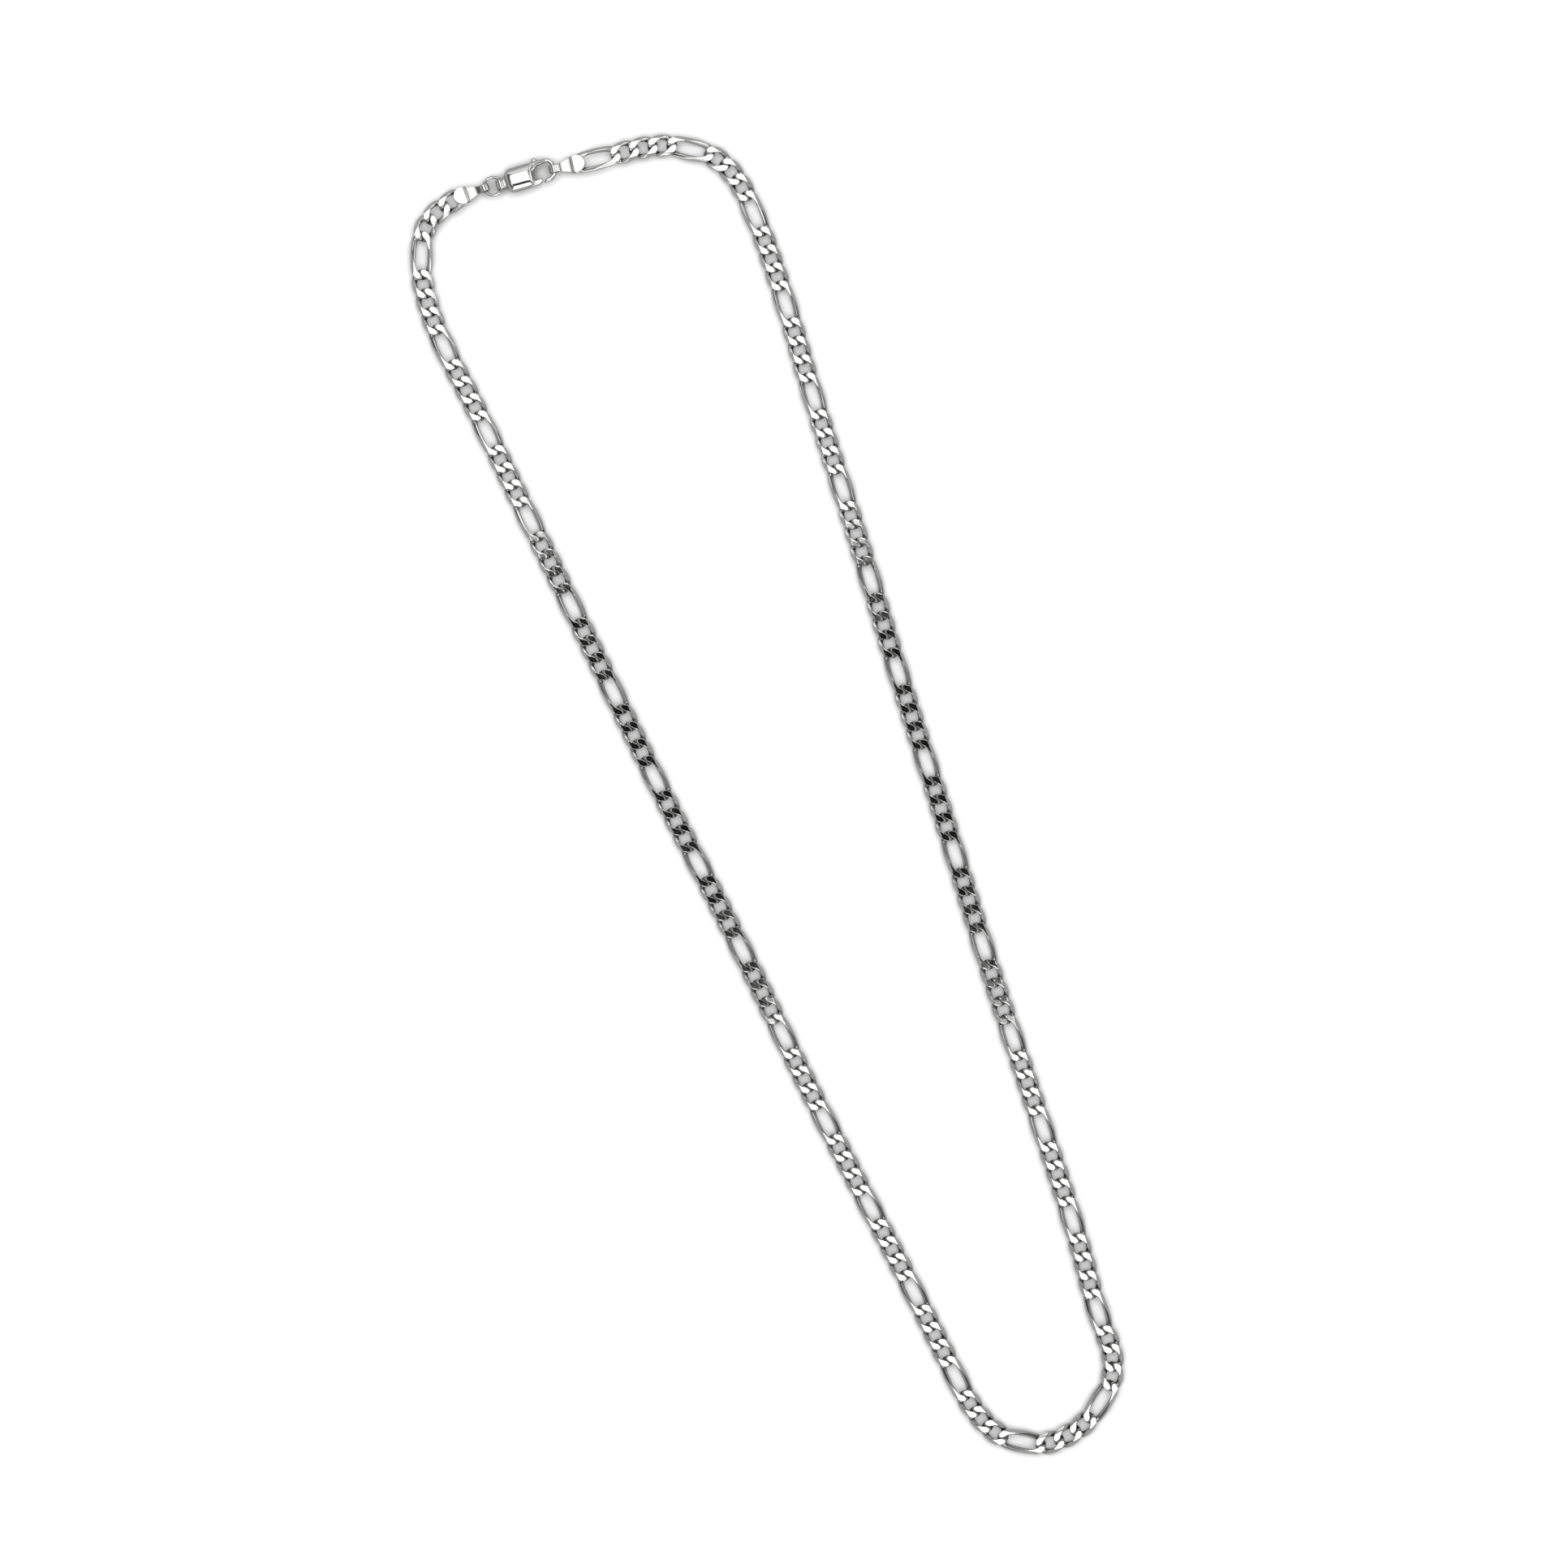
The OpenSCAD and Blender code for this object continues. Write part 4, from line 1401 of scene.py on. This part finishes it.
@dataclass
class Studio:
    """The pale floor, the tent of light and the camera, turned as the photograph is."""

    floor_z: float
    centre: tuple = (-3.04 * MM, 4.18 * MM)
    right: tuple = (0.9272, -0.3746)
    width: float = 283.36 * MM
    height: float = 0.9
    floor_half: float = 3.0
    card_height: float = 0.6
    card_half: tuple = (0.16, 0.073)
    halo: float = 1.6 * MM
    mirrored_floor: tuple = (0.04, 0.55)
    floor_glow: float = 0.5
    eye_at: tuple = (-44.2 * MM, 110.6 * MM)
    ring_at: tuple = (-52.3 * MM, 108.0 * MM)
    eye_halo: float = 2.2 * MM
    eye_reach: tuple = (1.7 * MM, 3.1 * MM)
    # Rows of a direction's height, from the floor to overhead, and the grey there.
    room_light: tuple = ((0.0, 0.13), (0.1, 0.16), (0.28, 0.27), (0.55, 0.57), (1.0, 0.6))
    mirrored_room: tuple = (
        (0.0, 0.27), (0.27, 0.26), (0.35, 0.17), (0.45, 0.25), (0.66, 0.28), (0.76, 0.07),
        (0.9, 0.05), (0.945, 0.2), (0.968, 0.9), (1.0, 0.9),
    )
    room_strength: float = 1.35
    # Rows of the name, the place, half the size, the turn and the lower and upper glow.
    reflectors: tuple = (
        ("front_reflector", (-0.035, 0.077, 0.052), (0.018, 0.04), 0.0, (1.1, 1.1)),
        ("back_reflector", (-0.055, 0.15, 0.06), (0.05, 0.055), 0.0, (0.2, 0.9)),
        ("side_reflector", (0.0, 0.12, 0.06), (0.022, 0.045), 1.3, (0.9, 1.0)),
    )
    lamp_at: tuple = (0.0, 0.75, 0.8)
    lamp_side: float = 0.7
    lamp_watts: float = 0.9
    sensor: float = 36.0

    def _frame(self, x: float, y: float, z: float) -> Vector:
        """Turns a place given along the picture's right and up into the object's frame."""
        rx, ry = self.right
        return Vector((self.centre[0] + x * rx - y * ry, self.centre[1] + x * ry + y * rx, z))

    def build(self) -> None:
        """Builds the studio."""
        self._floor()
        self._card()
        self._world()
        for reflector in self.reflectors:
            self._reflector(*reflector)
        self._light()
        self._camera()
        bpy.context.scene.view_settings.view_transform = "Standard"

    @staticmethod
    def _sheet(name: str, rows: list, material: bpy.types.Material) -> bpy.types.Object:
        """Builds a thin sheet of the stage.

        Args:
            name: Its name.
            rows: Its points, row by row.
            material: Its finish.

        Returns:
            The sheet.
        """
        mesh = bmesh.new()
        grid = [[mesh.verts.new(point) for point in row] for row in rows]
        for low, high in zip(grid, grid[1:]):
            for a, b, c, d in zip(low, low[1:], high[1:], high):
                mesh.faces.new((a, b, c, d))
        made = bpy.data.meshes.new(name)
        mesh.to_mesh(made)
        mesh.free()
        sheet = place(name, made)
        sheet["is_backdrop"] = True
        sheet.data.materials.append(material)
        return sheet

    def _level(self, half: tuple, z: float, cells: int) -> list:
        """Lists the points of a level sheet about the picture's middle.

        Args:
            half: Half its size along the picture's right and up.
            z: Its height.
            cells: How many cells it has each way.

        Returns:
            The points, row by row.
        """
        steps = [2 * i / cells - 1 for i in range(cells + 1)]
        return [[self._frame(half[0] * u, half[1] * v, z) for u in steps] for v in steps]

    def _floor(self) -> None:
        """Lays the white ground, shaded near the metal and darker still where metal mirrors it."""
        material, tree, shader = new_material(
            "white_ground",
            {"Roughness": 0.85, "Specular IOR Level": 0.1, "Emission Strength": self.floor_glow},
        )
        where = add(tree, "TexCoord", {}).outputs["Object"]
        grain = add(tree, "TexNoise", {"Vector": where, "Scale": 900, "Detail": 3}).outputs["Fac"]
        paper = add_mix(tree, grain, grey(0.9), grey(0.93))
        near = add(tree, "AmbientOcclusion", {"Distance": self.halo}, samples=AO_SAMPLES).outputs["AO"]
        shade = {"Value": near, "From Min": 0.25, "From Max": 0.92, "To Min": 0.25}
        factors = {0: add(tree, "MapRange", shade).outputs["Result"], 1: self._eye_shade(tree, where)}
        both = add(tree, "Math", factors, operation="MULTIPLY").outputs["Value"]
        dark = {0: paper, "Scale": both}
        shaded = add(tree, "VectorMath", dark, operation="SCALE").outputs["Vector"]
        low, high = self.mirrored_floor
        levels = {"Value": near, "From Min": 0.45, "From Max": 0.95, "To Min": low, "To Max": high}
        mirrored = add(tree, "MapRange", levels).outputs["Result"]
        glossy = add(tree, "LightPath", {}).outputs["Is Glossy Ray"]
        tree.links.new(add_mix(tree, glossy, shaded, mirrored), shader.inputs["Base Color"])
        tree.links.new(add_mix(tree, glossy, shaded, grey(0)), shader.inputs["Emission Color"])
        material.cycles.emission_sampling = "NONE"
        rows = self._level((self.floor_half, self.floor_half), self.floor_z, 12)
        self._sheet("floor", rows, material)

    def _eye_shade(
        self, tree: bpy.types.NodeTree, where: bpy.types.NodeSocket
    ) -> bpy.types.NodeSocket:
        """Deepens the shade inside the clasp's eye and the jump ring.

        Args:
            tree: The floor material's tree.
            where: The place on the floor.

        Returns:
            A factor for the floor's brightness.
        """
        away = {}
        for i, spot in enumerate((self.eye_at, self.ring_at)):
            ends = {0: where, 1: self._frame(*spot, self.floor_z)}
            away[i] = add(tree, "VectorMath", ends, operation="DISTANCE").outputs["Value"]
        nearest = add(tree, "Math", away, operation="MINIMUM").outputs["Value"]
        low, high = self.eye_reach
        reach = add(tree, "MapRange", {"Value": nearest, "From Min": low, "From Max": high})
        wide = add(tree, "AmbientOcclusion", {"Distance": self.eye_halo}, samples=AO_SAMPLES)
        levels = {"Value": wide.outputs["AO"], "From Min": 0.4, "From Max": 0.97, "To Min": 0.4}
        depth = add(tree, "MapRange", levels).outputs["Result"]
        blend = {"Factor": reach.outputs["Result"], "A": depth, "B": 1.0}
        return add(tree, "Mix", blend).outputs["Result"]

    def _card(self) -> None:
        """Hangs the dark overhead card, which only the polished metal sees."""
        black = {"Base Color": grey(0.004), "Roughness": 1.0, "Specular IOR Level": 0.0}
        material = new_material("dark_card", black)[0]
        rows = self._level(self.card_half, self.card_height, 4)
        self._only_mirrored(self._sheet("overhead_card", rows, material))

    def _reflector(self, name: str, at: tuple, half: tuple, turn: float, glow: tuple) -> None:
        """Stands a small bright card near the clasp, which only polished metal sees.

        Args:
            name: Its name.
            at: Its middle, along the picture's right and up and above the floor.
            half: Half its width and half its height.
            turn: How far its width is turned from the picture's right, in radians.
            glow: How bright it is at its lower and its upper edge.
        """
        plain = {"Base Color": grey(0), "Specular IOR Level": 0.0, "Emission Strength": 1.0}
        material, tree, shader = new_material(name, plain)
        spot = add(tree, "TexCoord", {}).outputs["Object"]
        z = add(tree, "SeparateXYZ", {"Vector": spot}).outputs["Z"]
        ends = {"From Min": at[2] - half[1], "From Max": at[2] + half[1]}
        level = add(tree, "MapRange", {"Value": z, **ends, "To Min": glow[0], "To Max": glow[1]})
        tree.links.new(level.outputs["Result"], shader.inputs["Emission Color"])
        material.cycles.emission_sampling = "NONE"
        dx, dy = half[0] * math.cos(turn), half[0] * math.sin(turn)
        rows = [
            [self._frame(at[0] + u * dx, at[1] + u * dy, at[2] + v * half[1]) for u in (-1, 1)]
            for v in (-1, 1)
        ]
        self._only_mirrored(self._sheet(name, rows, material))

    @staticmethod
    def _only_mirrored(card: bpy.types.Object) -> None:
        """Hides a card from everything but polished metal."""
        card.visible_camera = False
        card.visible_diffuse = False
        card.visible_shadow = False
        card.visible_transmission = False

    def _world(self) -> None:
        """Lights the tent, with levels of its own for what polished metal mirrors."""
        world = bpy.data.worlds.new("tent")
        bpy.context.scene.world = world
        world.use_nodes = True
        tree = world.node_tree
        where = add(tree, "TexCoord", {}).outputs["Generated"]
        z = add(tree, "SeparateXYZ", {"Vector": where}).outputs["Z"]
        glossy = add(tree, "LightPath", {}).outputs["Is Glossy Ray"]
        room = self._levels(tree, z, self.room_light)
        seen = add_mix(tree, glossy, room, self._levels(tree, z, self.mirrored_room))
        sky = tree.nodes["Background"]
        tree.links.new(seen, sky.inputs["Color"])
        sky.inputs["Strength"].default_value = self.room_strength

    @staticmethod
    def _levels(
        tree: bpy.types.NodeTree, height: bpy.types.NodeSocket, stops: tuple
    ) -> bpy.types.NodeSocket:
        """Grades grey levels by height.

        Args:
            tree: The tree to add them to.
            height: The sine of the direction's angle above the floor.
            stops: Pairs of height and level, in order from 0 to 1.

        Returns:
            The graded colour.
        """
        ramp = add(tree, "ValToRGB", {"Fac": height})
        band = ramp.color_ramp.elements
        for spot, _ in stops[1:-1]:
            band.new(spot)
        for element, (_, level) in zip(band, stops):
            element.color = grey(level)
        return ramp.outputs["Color"]

    def _light(self) -> None:
        """Hangs a softbox that faces the necklace."""
        lamp = bpy.data.lights.new("top_softbox", "AREA")
        lamp.size = self.lamp_side
        lamp.energy = self.lamp_watts
        light = bpy.data.objects.new("top_softbox", lamp)
        bpy.context.scene.collection.objects.link(light)
        light.location = self._frame(*self.lamp_at)
        to = self._frame(0, 0, 0) - light.location
        light.rotation_mode = "QUATERNION"
        light.rotation_quaternion = to.to_track_quat("-Z", "Y")
        light.visible_camera = False
        light.visible_glossy = False

    def _camera(self) -> None:
        """Hangs the camera straight above the necklace."""
        data = bpy.data.cameras.new("camera")
        data.sensor_width = self.sensor
        data.lens = self.sensor * self.height / self.width
        camera = bpy.data.objects.new("camera", data)
        bpy.context.scene.collection.objects.link(camera)
        rx, ry = self.right
        axes = Matrix(((rx, -ry, 0), (ry, rx, 0), (0, 0, 1))).to_4x4()
        camera.matrix_world = Matrix.Translation(self._frame(0, 0, self.height)) @ axes
        data.clip_start = 0.01
        data.clip_end = 20.0
        bpy.context.scene.camera = camera


def main() -> None:
    """Builds the necklace and its studio."""
    logging.basicConfig(level=logging.INFO, format="%(name)s: %(message)s")
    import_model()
    cad_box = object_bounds()
    route = ChainRoute()
    kit = ShaderKit.build()
    metal = {
        slot: SilverFinish(f"{slot.value}_silver", *polish).build(kit)
        for slot, polish in POLISH.items()
    }
    LinkRun(route, metal[Slot.CHAIN]).build()
    JumpRing(route, metal[Slot.RING]).build()
    links = len(route.kinds)
    FoldedTag(
        "ring_tag_strip", "ring_tag", loop_in=0.57 * MM, waist=1.2 * MM,
        place_at=route.from_joint(links + 2, links + 1), material=metal[Slot.TAG],
    ).build()
    FoldedTag(
        "hook_tag_strip", "hook_tag", loop_in=0.53 * MM, waist=1.35 * MM,
        place_at=route.from_joint(0, 1), material=metal[Slot.TAG],
    ).build()
    LobsterClasp(route, metal[Slot.CLASP], metal[Slot.LEVER]).build()
    Studio(floor_z=cad_box[0].z).build()


if __name__ == "__main__":
    main()
